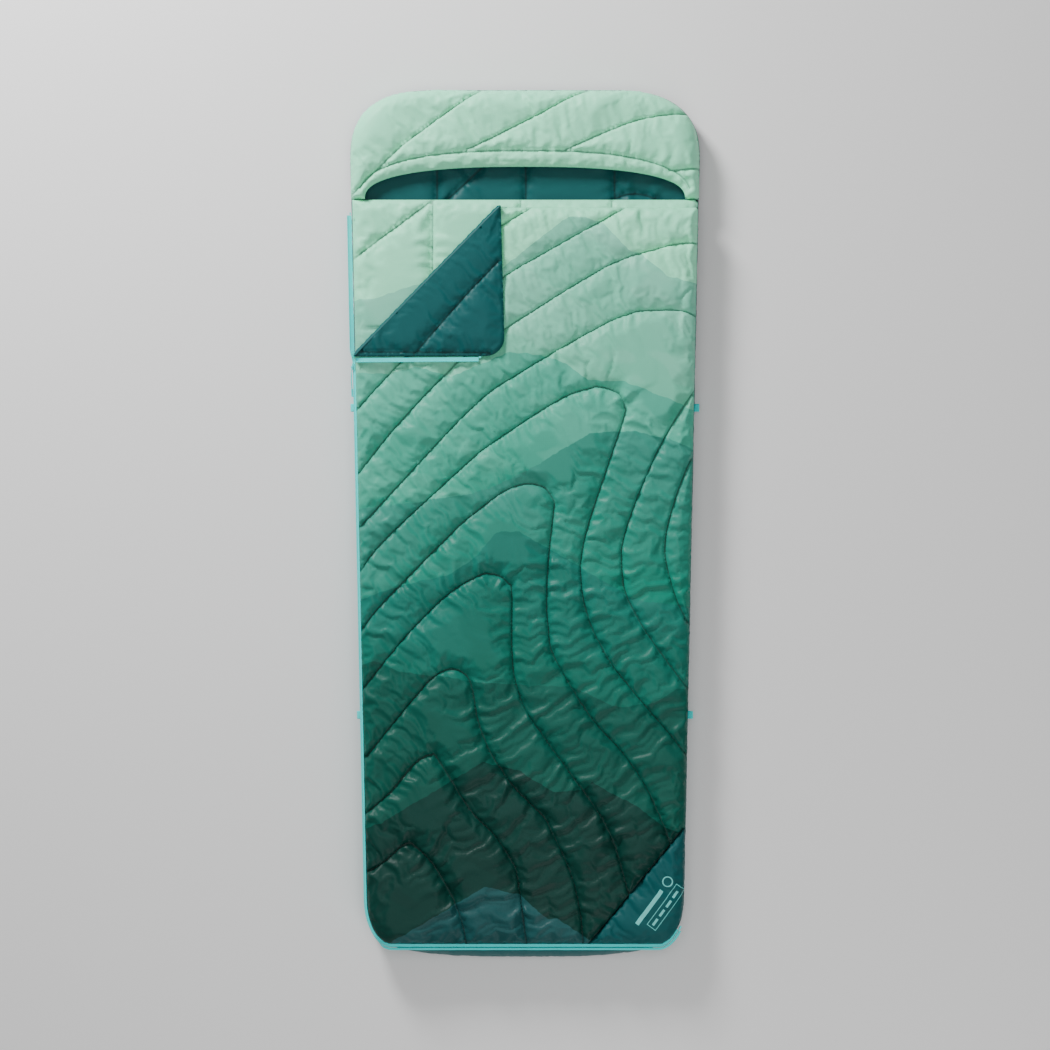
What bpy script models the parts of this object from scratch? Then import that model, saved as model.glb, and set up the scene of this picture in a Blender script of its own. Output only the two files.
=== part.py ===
"""Rectangular camp quilt, laid out flat on its back, with one head corner turned back.

Two quilted fronts lie over a padded back panel. The inner front is sewn in along both
sides. The outer front is sewn in along the right side only and closes with a zip that
runs down the left side and along the foot. A hood pocket covers the head end.
Frame: +Z up, +Y to the head, +X to the seam side, origin under the middle of the back.
"""
import bmesh
import bpy
from math import atan, atan2, cos, hypot, pi, sin
from mathutils import Matrix, Vector

# Plan size of the back panel
HEAD_Y = 1.05
FOOT_Y = -1.05
TAPER_TOP_Y = 0.88
TAPER_END_Y = -0.88
SHOULDER_HALF = 0.4225
FOOT_HALF = 0.386
SIDE_TAPER = (SHOULDER_HALF - FOOT_HALF) / (TAPER_TOP_Y - TAPER_END_Y)
SIDE_ANGLE = atan(SIDE_TAPER)
HEAD_CORNER = (0.22, 0.17)
HEAD_POWER = 2.6
FOOT_POWER = 3.4

# Layers: fabric, filling and the space for the sleeper
FABRIC = 0.001
GAP = 0.0003
BACK_TOP = 0.030
INNER_LOW = 0.044
INNER_TOP = 0.064
OUTER_LOW = 0.065
OUTER_TOP = 0.091
HOOD_TOP = 0.074
WALL = 0.0012

# Fronts
INNER_HEAD_Y = 0.783
OUTER_HEAD_Y = 0.7626
FRONT_FOOT_Y = -1.0100
SIDE_INSET = 0.0045
HINGE_OUT = 0.0005
GUSSET_FOOT_Y = -0.960

# Corner patch on the outer front: where its slanted edge meets the side and the foot
PATCH_SIDE_Y = -0.728
PATCH_BEND = (0.250, -0.886)
PATCH_FOOT = (0.152, -1.0035)
PATCH_THICK = 0.0006

# Hood opening and its stitched rim
HOOD_LOW_Y = 0.788
OPENING = (0.385, 0.077)
RIM = (0.400, 0.115)
RIM_POWER = 2.5

# Turned-back corner of the outer front
FOLD_HEAD_X = -0.058
FOLD_SLOPE = 1.028
FOLD_Z = OUTER_TOP + 0.00025
FOLD_CLEAR = 0.001
FLAP_CORNER = 0.045

# Zip: two rows of coil, one above the other, each on its own tape
ZIP_Z = 0.065
ZIP_FOOT_Y = -1.0145
ZIP_CORNER = (0.065, 0.1145)
ZIP_CORNER_POWER = 1.9
ZIP_HEAD_Y = 0.745
COIL_R = 0.0014
COIL_OFFSET = 0.0021
TAPE_IN = 0.0039
TAPE_OUT = 0.0129
TAPE_HALF = 0.0004
END_BOX = (0.004, 0.010, 0.011)

# Slider, pull and cord
SLIDER_Y = 0.380
SLIDER = (0.0058, 0.016, 0.013)
CHANNEL = 0.0034
DIVIDER = 0.0008
LUG = (0.0037, 0.005, 0.003)
PIN_OUT = 0.0045
PIN_HOLE_R = 0.001
PULL_R = 0.0007
PULL_LENGTH = 0.012
PULL_HEIGHT = 0.006
CORD_R = 0.0013
CORD_LENGTH = 0.040
GRIP = (0.0024, 0.018)

# Side loops of folded webbing
LOOP_WIDTH = 0.019
LOOP_OUT = 0.009
LOOP_HEIGHT = 0.0075
LOOP_WALL = 0.0014
LOOP_Z = 0.0315
LOOP_Y = {"head": 0.283, "foot": -0.458}

MINT = (0.62, 0.92, 0.78, 1.0)
PINE = (0.005, 0.16, 0.13, 1.0)
TEAL = (0.002, 0.115, 0.115, 1.0)
SHELL_TEAL = (0.004, 0.075, 0.080, 1.0)
CYAN = (0.21, 1.0, 1.0, 1.0)
WADDING = (0.86, 0.87, 0.85, 1.0)


def clear_scene():
    for old in list(bpy.data.objects):
        bpy.data.objects.remove(old, do_unlink=True)


def new_collection(name):
    collection = bpy.data.collections.new(name)
    bpy.context.scene.collection.children.link(collection)
    return collection


def material(name, color, roughness, metallic=0.0):
    finish = bpy.data.materials.new(name)
    finish.use_nodes = True
    shader = finish.node_tree.nodes["Principled BSDF"]
    shader.inputs["Base Color"].default_value = color
    shader.inputs["Roughness"].default_value = roughness
    shader.inputs["Metallic"].default_value = metallic
    return finish


def place(name, data, finish, parent=None, location=(0, 0, 0), group=None):
    piece = bpy.data.objects.new(name, data)
    piece.location = location
    piece.data.materials.append(finish)
    (group or parts).objects.link(piece)
    if parent:
        piece.parent = parent
        piece.matrix_parent_inverse = parent.matrix_world.inverted()
    return piece


def half_width(y):
    """Distance from the centre line to the side seam."""
    return SHOULDER_HALF - (TAPER_TOP_Y - y) * SIDE_TAPER


def arc(centre, semi, power, start, end, count):
    """Points on a rounded corner, from a start angle to an end angle in quarter turns."""
    points = []
    for i in range(count + 1):
        angle = (start + (end - start) * i / count) * pi / 2
        c, s = cos(angle), sin(angle)
        x = semi[0] * abs(c) ** (2 / power) * (1 if c >= 0 else -1)
        y = semi[1] * abs(s) ** (2 / power) * (1 if s >= 0 else -1)
        points.append((centre[0] + x, centre[1] + y))
    return points


def head_outline(inset):
    """Head end of the back panel, from the right side seam over the top to the left one."""
    semi = (HEAD_CORNER[0] - inset, HEAD_CORNER[1] - inset)
    centre_x = SHOULDER_HALF - HEAD_CORNER[0]
    centre_y = HEAD_Y - HEAD_CORNER[1]
    right = arc((centre_x, centre_y), semi, HEAD_POWER, 0, 1, 12)
    left = arc((-centre_x, centre_y), semi, HEAD_POWER, 1, 2, 12)
    return right + left


def foot_outline(inset, count=28):
    """Foot end of the back panel, from the left side seam round to the right one."""
    semi = (FOOT_HALF - inset, TAPER_END_Y - FOOT_Y - inset)
    return arc((0, TAPER_END_Y), semi, FOOT_POWER, 2, 4, count)


def front_outline(head_y, inset=SIDE_INSET):
    """A front panel: head edge, tapered sides and rounded foot corners."""
    semi = (ZIP_CORNER[0] - inset, ZIP_CORNER[1] - inset)
    centre_y = ZIP_FOOT_Y + ZIP_CORNER[1]
    centre_x = half_width(centre_y) - ZIP_CORNER[0]
    left = arc((-centre_x, centre_y), semi, ZIP_CORNER_POWER, 2, 3, 8)
    right = arc((centre_x, centre_y), semi, ZIP_CORNER_POWER, 3, 4, 8)
    head = half_width(head_y) - inset
    return [(head, head_y), (-head, head_y)] + left + right


def zip_path(start_y, end_turn=3.55):
    """Plan route of the zip: down the left side, round the corner, along the foot."""
    centre_y = ZIP_FOOT_Y + ZIP_CORNER[1]
    centre_x = half_width(centre_y) - ZIP_CORNER[0]
    left = arc((-centre_x, centre_y), ZIP_CORNER, ZIP_CORNER_POWER, 2, 3, 10)
    right = arc((centre_x, centre_y), ZIP_CORNER, ZIP_CORNER_POWER, 3, end_turn, 6)
    return [(-half_width(start_y), start_y)] + left + right


def band(path, half):
    """Outline of a strip of even width along a path."""
    left, right = [], []
    for i, (x, y) in enumerate(path):
        before = Vector(path[max(i - 1, 0)])
        after = Vector(path[min(i + 1, len(path) - 1)])
        along = (after - before).normalized()
        left.append((x - along.y * half, y + along.x * half))
        right.append((x + along.y * half, y - along.x * half))
    return left + right[::-1]


def turn_over(point):
    """Mirror a plan point over the fold line, where it lands when the corner is turned back."""
    along = Vector((-1, -FOLD_SLOPE)).normalized()
    start = Vector((FOLD_HEAD_X, OUTER_HEAD_Y))
    offset = Vector(point) - start
    return tuple(start + 2 * offset.dot(along) * along - offset)


def fold_foot():
    """Plan point where the fold line meets the left edge of the outer front."""
    run = half_width(OUTER_HEAD_Y) - SIDE_INSET + FOLD_HEAD_X
    run = run / (1 + FOLD_SLOPE * SIDE_TAPER)
    return (FOLD_HEAD_X - run, OUTER_HEAD_Y - run * FOLD_SLOPE)


def flat_solid(name, outline, low, high, finish, parent=None):
    """A flat piece of even thickness cut to an outline."""
    curve = bpy.data.curves.new(name, "CURVE")
    curve.dimensions = "2D"
    curve.fill_mode = "BOTH"
    curve.extrude = (high - low) / 2
    spline = curve.splines.new("POLY")
    spline.points.add(len(outline) - 1)
    for point, (x, y) in zip(spline.points, outline):
        point.co = (x, y, 0, 1)
    spline.use_cyclic_u = True
    return place(name, curve, finish, parent, (0, 0, (low + high) / 2))


def tube(name, path, radius, finish, parent=None, cyclic=False):
    """A round cord, coil row or wire along a path."""
    curve = bpy.data.curves.new(name, "CURVE")
    curve.dimensions = "3D"
    curve.bevel_depth = radius
    curve.bevel_resolution = 2
    curve.use_fill_caps = True
    spline = curve.splines.new("POLY")
    spline.points.add(len(path) - 1)
    for point, co in zip(spline.points, path):
        point.co = (*co, 1)
    spline.use_cyclic_u = cyclic
    return place(name, curve, finish, parent)


def open_tray(name, outline, wall_count, base_z, rim_z, finish):
    """A sheet with a wall along the first edges of its outline, turned up or down."""
    mesh = bpy.data.meshes.new(name)
    bm = bmesh.new()
    verts = [bm.verts.new((x, y, base_z)) for x, y in outline]
    base = bm.faces.new(verts)
    base.normal_update()
    outward = -1 if rim_z > base_z else 1
    if base.normal.z * outward < 0:
        base.normal_flip()
    joined = {frozenset((verts[i], verts[(i + 1) % len(verts)])) for i in range(wall_count)}
    walls = [edge for edge in base.edges if frozenset(edge.verts) in joined]
    grown = bmesh.ops.extrude_edge_only(bm, edges=walls)["geom"]
    for part in grown:
        if isinstance(part, bmesh.types.BMVert):
            part.co.z = rim_z
    bmesh.ops.recalc_face_normals(bm, faces=bm.faces)
    bm.faces.ensure_lookup_table()
    sheet = max(bm.faces, key=lambda face: face.calc_area())
    if sheet.normal.z * outward < 0:
        bmesh.ops.reverse_faces(bm, faces=bm.faces)
    bm.to_mesh(mesh)
    bm.free()
    piece = place(name, mesh, finish)
    shell = piece.modifiers.new("thickness", "SOLIDIFY")
    shell.thickness = FABRIC
    shell.offset = -1
    shell.use_even_offset = True
    return piece


def box(name, size, centre, finish, parent=None, angle=0.0, group=None):
    """A block turned about the vertical, its origin at its centre."""
    mesh = bpy.data.meshes.new(name)
    bm = bmesh.new()
    bmesh.ops.create_cube(bm, size=1, matrix=Matrix.Diagonal((*size, 1)))
    bm.to_mesh(mesh)
    bm.free()
    piece = place(name, mesh, finish, None, centre, group)
    piece.rotation_euler.z = angle
    if parent:
        piece.parent = parent
        piece.matrix_parent_inverse = parent.matrix_world.inverted()
    return piece


def cut(piece, cutter, operation="DIFFERENCE"):
    cutter.hide_render = True
    cutter.display_type = "WIRE"
    boolean = piece.modifiers.new(cutter.name, "BOOLEAN")
    boolean.operation = operation
    boolean.object = cutter
    boolean.solver = "EXACT"


def axis_empty(name, location, parent=None):
    """An empty on a joint's axis, which carries the pieces that move on it."""
    empty = bpy.data.objects.new(name, None)
    empty.location = location
    empty.empty_display_size = 0.03
    parts.objects.link(empty)
    if parent:
        empty.parent = parent
    bpy.context.view_layer.update()
    if parent:
        empty.matrix_parent_inverse = parent.matrix_world.inverted()
        bpy.context.view_layer.update()
    return empty


def quilt_layers(name, outline_at, low, top, shell, lining, parent=None):
    """Lining, filling and shell of a front, one over the other."""
    flat_solid(name + "_lining", outline_at(0), low, low + FABRIC, lining, parent)
    filling = outline_at(FABRIC)
    flat_solid(
        name + "_insulation", filling, low + FABRIC + GAP, top - FABRIC - GAP, wadding, parent
    )
    flat_solid(name + "_shell", outline_at(0), top - FABRIC, top, shell, parent)


def back_panel():
    outline = head_outline(0) + foot_outline(0)
    open_tray("back_shell", outline, len(outline), 0, BACK_TOP, shell_teal)
    inset = FABRIC + GAP
    filling = head_outline(inset) + foot_outline(inset)
    flat_solid("back_insulation", filling, inset, BACK_TOP - inset, wadding)
    flat_solid("back_lining", filling, BACK_TOP - FABRIC, BACK_TOP, teal)


def gussets():
    low = BACK_TOP + GAP
    left_path = [p for p in zip_path(INNER_HEAD_Y) if p[0] < 0 and p[1] > GUSSET_FOOT_Y]
    right_path = [(-x - WALL, y) for x, y in left_path]
    left_top = ZIP_Z - TAPE_OUT - GAP
    flat_solid("side_gusset_left", band(left_path, WALL / 2), low, left_top, shell_teal)
    right_top = INNER_TOP - GAP
    flat_solid("side_gusset_right", band(right_path, WALL / 2), low, right_top, shell_teal)
    inner_y = ZIP_FOOT_Y - 2 * WALL
    crescent = [(x, y) for x, y in foot_outline(GAP, 56) if y < inner_y - WALL]
    flat_solid("foot_gusset", crescent, low, ZIP_Z - COIL_OFFSET - 2 * GAP, shell_teal)


def rim_arc(semi, count, trim=0.0):
    low = (semi[0] - trim, semi[1] - trim)
    return arc((0, HOOD_LOW_Y), low, RIM_POWER, 0, 2, count)


def hood():
    def crescent(inset):
        side = half_width(HOOD_LOW_Y) - inset
        rim = rim_arc(RIM, 28, -GAP)
        return [(side, HOOD_LOW_Y)] + head_outline(inset) + [(-side, HOOD_LOW_Y)] + rim[::-1]

    outline = crescent(0)
    walls = 1 + len(head_outline(0))
    open_tray("hood_shell", outline, walls, HOOD_TOP, BACK_TOP + GAP, mint)
    inner = crescent(FABRIC + GAP)
    flat_solid("hood_insulation", inner, INNER_LOW + FABRIC + GAP, HOOD_TOP - FABRIC - GAP, wadding)
    flat_solid("hood_lining", inner, INNER_LOW, INNER_LOW + FABRIC, teal)
    edge = rim_arc(RIM, 28) + rim_arc(OPENING, 28)[::-1]
    flat_solid("hood_rim", edge, INNER_LOW, HOOD_TOP, mint)


def inner_front():
    def outline(inset):
        return front_outline(INNER_HEAD_Y - inset, SIDE_INSET + inset)

    quilt_layers("inner_quilt", outline, INNER_LOW, INNER_TOP, mint, teal)


def outer_front(parent):
    def outline(inset):
        points = front_outline(OUTER_HEAD_Y - inset, SIDE_INSET + inset)
        foot_x, foot_y = fold_foot()
        clear = (FOLD_CLEAR + inset) * hypot(1, FOLD_SLOPE)
        head = (FOLD_HEAD_X + clear / FOLD_SLOPE + inset / FOLD_SLOPE, OUTER_HEAD_Y - inset)
        foot = (foot_x + inset, foot_y - clear + inset * FOLD_SLOPE)
        return [points[0], head, foot] + points[2:]

    quilt_layers("outer_quilt", outline, OUTER_LOW, OUTER_TOP, pine, teal, parent)
    corner = front_outline(OUTER_HEAD_Y, 2 * SIDE_INSET)[2:]
    corner = [p for p in corner if p[0] > PATCH_FOOT[0]]
    side = (half_width(PATCH_SIDE_Y) - 2 * SIDE_INSET, PATCH_SIDE_Y)
    low = OUTER_TOP + GAP
    patch = [PATCH_FOOT, *corner, side, PATCH_BEND]
    flat_solid("corner_patch", patch, low, low + PATCH_THICK, teal, parent)


def corner_flap(parent):
    """The turned-back corner: its shell lies down on the outer front, its lining faces up."""
    def outline(inset):
        foot_x, foot_y = fold_foot()
        side = half_width(OUTER_HEAD_Y) - SIDE_INSET - inset
        head_y = OUTER_HEAD_Y - inset
        clear = (FOLD_CLEAR + inset) * hypot(1, FOLD_SLOPE)
        head = (FOLD_HEAD_X - clear / FOLD_SLOPE - inset / FOLD_SLOPE, head_y)
        foot = (foot_x + inset, foot_y + clear + inset * FOLD_SLOPE)
        centre = (FLAP_CORNER - side, head_y - FLAP_CORNER)
        round_corner = arc(centre, (FLAP_CORNER, FLAP_CORNER), 2, 1, 2, 6)
        return [turn_over(p) for p in [head, *round_corner, foot]]

    low = 2 * FOLD_Z - OUTER_TOP
    top = 2 * FOLD_Z - OUTER_LOW
    flat_solid("flap_shell", outline(0), low, low + FABRIC, mint, parent)
    inner = FABRIC + GAP
    flat_solid("flap_insulation", outline(FABRIC), low + inner, top - inner, wadding, parent)
    flat_solid("flap_lining", outline(0), top - FABRIC, top, teal, parent)


def zip_rows(outer, flap):
    """Tapes and coils: the back's row, the outer front's row and the turned-back stretch."""
    foot_y = fold_foot()[1]
    back = zip_path(ZIP_HEAD_Y)
    front = zip_path(foot_y - 0.004)
    loose = [(-half_width(y), y) for y in (foot_y + 0.004, ZIP_HEAD_Y - FLAP_CORNER)]
    turned = [turn_over(p) for p in loose]
    lows = {
        "back": (ZIP_Z - TAPE_OUT, ZIP_Z - TAPE_IN),
        "outer": (ZIP_Z + TAPE_IN, ZIP_Z + TAPE_OUT),
    }
    lows["flap"] = tuple(2 * FOLD_Z - z for z in lows["outer"][::-1])
    coil_z = {"back": ZIP_Z - COIL_OFFSET, "outer": ZIP_Z + COIL_OFFSET}
    coil_z["flap"] = 2 * FOLD_Z - coil_z["outer"]
    routes = {"back": (back, None), "outer": (front, outer), "flap": (turned, flap)}
    for side, (route, parent) in routes.items():
        flat_solid("zip_tape_" + side, band(route, TAPE_HALF), *lows[side], cyan, parent)
        coil = [(x, y, coil_z[side]) for x, y in route]
        tube("zip_coil_" + side, coil, COIL_R, cyan, parent)
    stop = (2 * COIL_R, 0.005, 2 * COIL_R)
    for side, route, at, parent in (("back", back, 0, None), ("flap", turned, 1, flap)):
        along = (Vector(route[at]) - Vector(route[1 - at])).normalized()
        spot = Vector(route[at]) + along * (stop[1] / 2 + 2 * GAP)
        angle = atan2(-along.x, along.y)
        box("zip_stop_" + side, stop, (*spot, coil_z[side]), steel, parent, angle)
    along = (Vector(back[-1]) - Vector(back[-2])).normalized()
    spot = Vector(back[-1]) + along * (END_BOX[1] / 2 + 3 * GAP)
    box("zip_end_box", END_BOX, (*spot, ZIP_Z), steel, None, atan2(-along.x, along.y))


def slider_and_pull(slider_axis, pull_axis):
    """Slider with a channel for each row, a divider, a lug, and the pull on the lug."""
    x, y = -half_width(SLIDER_Y), SLIDER_Y
    body = box("slider_body", SLIDER, (x, y, ZIP_Z), steel, slider_axis, SIDE_ANGLE)
    turn = Matrix.Rotation(SIDE_ANGLE, 3, "Z")

    def spot(out, along, up=0.0):
        return Vector((x, y, ZIP_Z)) + turn @ Vector((-out, along, up))

    lug_out = SLIDER[0] / 2 - 2 * GAP + LUG[0] / 2
    lug = box("lug", LUG, spot(lug_out, 0), steel, None, SIDE_ANGLE, cutters)
    cut(body, lug, "UNION")
    row = (SLIDER[2] - DIVIDER) / 2
    for name, up in (("upper_channel", 1), ("lower_channel", -1)):
        middle = spot(0, 0, up * (DIVIDER / 2 + row / 2 + GAP))
        size = (CHANNEL, 2 * SLIDER[1], row + 2 * GAP)
        cut(body, box(name, size, middle, steel, None, SIDE_ANGLE, cutters))
    size = (CHANNEL, SLIDER[1], 3 * DIVIDER)
    rear = spot(0, -SLIDER[1] / 2)
    cut(body, box("rear_channel", size, rear, steel, None, SIDE_ANGLE, cutters))
    hole_mesh = bpy.data.meshes.new("pin_hole")
    bm = bmesh.new()
    bmesh.ops.create_cone(
        bm, cap_ends=True, segments=16, radius1=PIN_HOLE_R, radius2=PIN_HOLE_R, depth=4 * LUG[2]
    )
    bm.to_mesh(hole_mesh)
    bm.free()
    hole = place("pin_hole", hole_mesh, steel, None, spot(PIN_OUT, 0), cutters)
    cut(body, hole)

    ring = []
    corner = PULL_HEIGHT / 2
    for i in range(8):
        angle = pi / 2 + pi * i / 7
        ring.append(spot(PIN_OUT, -PULL_LENGTH + corner + corner * cos(angle), corner * sin(angle)))
    ring = [spot(PIN_OUT, 0, -corner), spot(PIN_OUT, 0, corner)] + ring
    tube("pull_tab", ring, PULL_R, steel, pull_axis, cyclic=True)
    start = PULL_LENGTH + PULL_R + GAP
    cord = []
    for i in range(13):
        t = i / 12
        cord.append(spot(PIN_OUT + 0.0008 * sin(pi * t), -start - CORD_LENGTH * t, -0.006 * t * t))
    tube("pull_cord", cord, CORD_R, cyan, pull_axis)
    grip_start = start + CORD_LENGTH + GAP
    grip = [spot(PIN_OUT, -grip_start - GRIP[1] * i / 6, -0.006 - 0.003 * i / 6) for i in range(7)]
    tube("cord_end", grip, GRIP[0], cyan, pull_axis)


def side_loops():
    """Folded webbing loops in the side seams, each with an eye that runs along the seam."""
    for side, sign in (("left", -1), ("right", 1)):
        for end, y in LOOP_Y.items():
            angle = -sign * SIDE_ANGLE
            normal = Matrix.Rotation(angle, 3, "Z") @ Vector((sign, 0, 0))
            edge = Vector((sign * half_width(y), y, LOOP_Z)) + normal * (WALL + GAP)
            name = "side_loop_" + side + "_" + end
            size = (LOOP_OUT, LOOP_WIDTH, LOOP_HEIGHT)
            loop = box(name, size, edge + normal * LOOP_OUT / 2, cyan, None, angle)
            eye_size = (LOOP_OUT, 2 * LOOP_WIDTH, LOOP_HEIGHT - 2 * LOOP_WALL)
            middle = edge + normal * (LOOP_OUT / 2 - LOOP_WALL)
            cut(loop, box(name + "_eye", eye_size, middle, cyan, None, angle, cutters))


clear_scene()
parts = new_collection("camp_quilt")
cutters = new_collection("cutters")
mint = material("mint_ripstop", MINT, 0.45)
pine = material("pine_print", PINE, 0.45)
teal = material("teal_lining", TEAL, 0.5)
shell_teal = material("dark_teal_shell", SHELL_TEAL, 0.5)
cyan = material("cyan_webbing", CYAN, 0.6)
wadding = material("wadding", WADDING, 0.95)
steel = material("cyan_enamel", CYAN, 0.35, 0.2)

hinge_x = half_width(0) + HINGE_OUT
outer_axis = axis_empty("outer_quilt_axis", (hinge_x, 0, OUTER_LOW - 0.0005))
flap_axis = axis_empty("corner_fold_axis", (FOLD_HEAD_X, OUTER_HEAD_Y, FOLD_Z), outer_axis)
slider_axis = axis_empty("slider_axis", (-half_width(SLIDER_Y), SLIDER_Y, ZIP_Z))
pull_axis = axis_empty("pull_axis", (-half_width(SLIDER_Y) - PIN_OUT, SLIDER_Y, ZIP_Z), slider_axis)

back_panel()
gussets()
hood()
inner_front()
outer_front(outer_axis)
corner_flap(flap_axis)
zip_rows(outer_axis, flap_axis)
slider_and_pull(slider_axis, pull_axis)
side_loops()
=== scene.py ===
import bmesh
import bpy
import numpy as np
from math import cos, hypot, pi, sin, sqrt
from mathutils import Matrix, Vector, kdtree
from mathutils.geometry import delaunay_2d_cdt


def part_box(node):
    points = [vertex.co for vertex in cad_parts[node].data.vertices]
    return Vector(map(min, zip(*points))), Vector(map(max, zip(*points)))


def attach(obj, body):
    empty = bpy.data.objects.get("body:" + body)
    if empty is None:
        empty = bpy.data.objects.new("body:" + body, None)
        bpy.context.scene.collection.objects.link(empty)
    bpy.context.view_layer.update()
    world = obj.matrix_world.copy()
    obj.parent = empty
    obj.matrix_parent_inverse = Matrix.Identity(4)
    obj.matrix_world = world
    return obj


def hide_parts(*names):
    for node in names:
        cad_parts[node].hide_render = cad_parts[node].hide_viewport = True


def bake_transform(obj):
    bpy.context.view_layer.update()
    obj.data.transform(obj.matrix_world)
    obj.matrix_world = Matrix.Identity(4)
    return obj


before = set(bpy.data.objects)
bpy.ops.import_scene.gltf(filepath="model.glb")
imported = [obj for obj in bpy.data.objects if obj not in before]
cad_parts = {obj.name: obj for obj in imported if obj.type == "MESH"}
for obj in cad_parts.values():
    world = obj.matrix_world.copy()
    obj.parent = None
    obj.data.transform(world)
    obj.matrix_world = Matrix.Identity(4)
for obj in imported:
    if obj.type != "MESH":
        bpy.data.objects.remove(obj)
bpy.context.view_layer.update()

# ---------------------------------------------------------------- camera
# Straight above the middle of the quilt, head end at the top of the view.
VIEW_WIDTH = 2.52
CAMERA_LENS, SENSOR_WIDTH = 100, 36
FOCUS_Z = 0.07
camera_data = bpy.data.cameras.new("camera")
camera_data.lens = CAMERA_LENS
camera = bpy.data.objects.new("camera", camera_data)
camera.location = (0, 0, VIEW_WIDTH * CAMERA_LENS / SENSOR_WIDTH + FOCUS_Z)
bpy.context.scene.collection.objects.link(camera)
bpy.context.scene.camera = camera

# ---------------------------------------------------------------- studio
# Plain pale floor, a large soft key light beyond the head end on the left, and two weak fills.
bpy.ops.mesh.primitive_plane_add(size=14, location=(0, 0, -0.0005))
floor = bpy.context.object
floor.name = "floor"
floor_paint = bpy.data.materials.new("floor_paint")
floor_paint.use_nodes = True
floor_shader = floor_paint.node_tree.nodes["Principled BSDF"]
floor_shader.inputs["Base Color"].default_value = (0.93, 0.93, 0.93, 1)
floor_shader.inputs["Roughness"].default_value = 0.9
floor.data.materials.append(floor_paint)


def area_light(name, place, target, size, power):
    data = bpy.data.lights.new(name, "AREA")
    data.size = size
    data.energy = power
    lamp = bpy.data.objects.new(name, data)
    lamp.location = place
    lamp.rotation_mode = "QUATERNION"
    lamp.rotation_quaternion = (Vector(target) - Vector(place)).to_track_quat("-Z", "Y")
    bpy.context.scene.collection.objects.link(lamp)


area_light("key", (-1.9, 3.4, 1.9), (0, 0.0, 0), 1.0, 230)
area_light("fill", (1.2, -3.2, 2.2), (0, -0.6, 0), 2.0, 34)
area_light("top", (0, 0, 5.5), (0, 0, 0), 4.0, 85)
world = bpy.data.worlds.new("studio")
world.use_nodes = True
world.node_tree.nodes["Background"].inputs["Color"].default_value = (1, 1, 1, 1)
world.node_tree.nodes["Background"].inputs["Strength"].default_value = 0.22
bpy.context.scene.world = world

# ---------------------------------------------------------------- cord pull
# A short braided cord tied to the slider's ring, with a moulded grip on its end. It lies
# along the zip, and swings with the ring.
back_low, back_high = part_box("back_shell")
SHOULDER_HALF, FOOT_HALF = back_high[0], 0.386
TAPER_TOP_Y, TAPER_END_Y = 0.88, -0.88
SIDE_TAPER = (SHOULDER_HALF - FOOT_HALF) / (TAPER_TOP_Y - TAPER_END_Y)
slider_low, slider_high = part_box("slider_body")
ZIP_Z = (slider_low[2] + slider_high[2]) / 2


def side_x(y):
    """Distance from the centre line to the side seam."""
    return SHOULDER_HALF - (TAPER_TOP_Y - y) * SIDE_TAPER


def new_mesh_piece(name, points, faces, smooth=True):
    mesh = bpy.data.meshes.new(name)
    mesh.from_pydata([tuple(p) for p in points], [], [tuple(f) for f in faces])
    mesh.update()
    if smooth:
        mesh.shade_smooth()
    piece = bpy.data.objects.new(name, mesh)
    bpy.context.scene.collection.objects.link(piece)
    return piece


def dress(piece, finish, body, slot, *cad_nodes):
    """Gives a piece its finish and its body, and hides the plain solids that it stands for. Its slot is not
    used.
    """
    piece.data.materials.append(finish)
    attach(piece, body)
    if cad_nodes:
        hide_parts(*cad_nodes)


def dress_solid(name, finish):
    """Gives a plain solid that stays on show its finish."""
    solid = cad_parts[name]
    solid.data.materials.clear()
    solid.data.materials.append(finish)
    return solid


def cord_tube(path, radius, sides):
    """Points and faces of a round cord along a path, closed at both ends."""
    ring = [(radius * cos(2 * pi * i / sides), radius * sin(2 * pi * i / sides)) for i in range(sides)]
    points, faces = [], []
    last = len(path) - 1
    for i, p in enumerate(path):
        along = (path[min(i + 1, last)] - path[max(i - 1, 0)]).normalized()
        side = along.cross(Vector((0, 0, 1))).normalized()
        up = side.cross(along).normalized()
        points += [p + side * s + up * u for s, u in ring]
    for i in range(last):
        for m in range(sides):
            w = (m + 1) % sides
            faces.append((i * sides + m, i * sides + w, (i + 1) * sides + w, (i + 1) * sides + m))
    faces.append(tuple(range(sides))[::-1])
    faces.append(tuple(last * sides + m for m in range(sides)))
    return points, faces


def principled(name, color, roughness, metallic=0.0):
    finish = bpy.data.materials.new(name)
    finish.use_nodes = True
    shader = finish.node_tree.nodes["Principled BSDF"]
    shader.inputs["Base Color"].default_value = (*color, 1)
    shader.inputs["Roughness"].default_value = roughness
    shader.inputs["Metallic"].default_value = metallic
    return finish, finish.node_tree, shader


def srgb(r, g, b):
    """Linear colour from its 0-255 display values."""
    return tuple(((c / 255 + 0.055) / 1.055) ** 2.4 if c > 10 else c / 255 / 12.92 for c in (r, g, b))


def wire(tree, kind, inputs, out=0, **settings):
    """Adds a node, sets its options, and gives each named input a value or a link."""
    node = tree.nodes.new(kind)
    for key, value in settings.items():
        setattr(node, key, value)
    for name, source in inputs.items():
        if isinstance(source, bpy.types.NodeSocket):
            tree.links.new(source, node.inputs[name])
        else:
            node.inputs[name].default_value = source
    return node.outputs[out]


def object_place(tree):
    return wire(tree, "ShaderNodeTexCoord", {}, out="Object")


def tint(tree, shader, factor, low, high):
    """Lets a finish's colour vary a little with a pattern."""
    tree.links.new(blend_color(tree, factor, low, high), shader.inputs["Base Color"])


def relief(tree, shader, height, depth, strength=1.0):
    """Fine raised texture on a finish."""
    bump = wire(tree, "ShaderNodeBump", {"Height": height, "Distance": depth, "Strength": strength})
    tree.links.new(bump, shader.inputs["Normal"])


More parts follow.
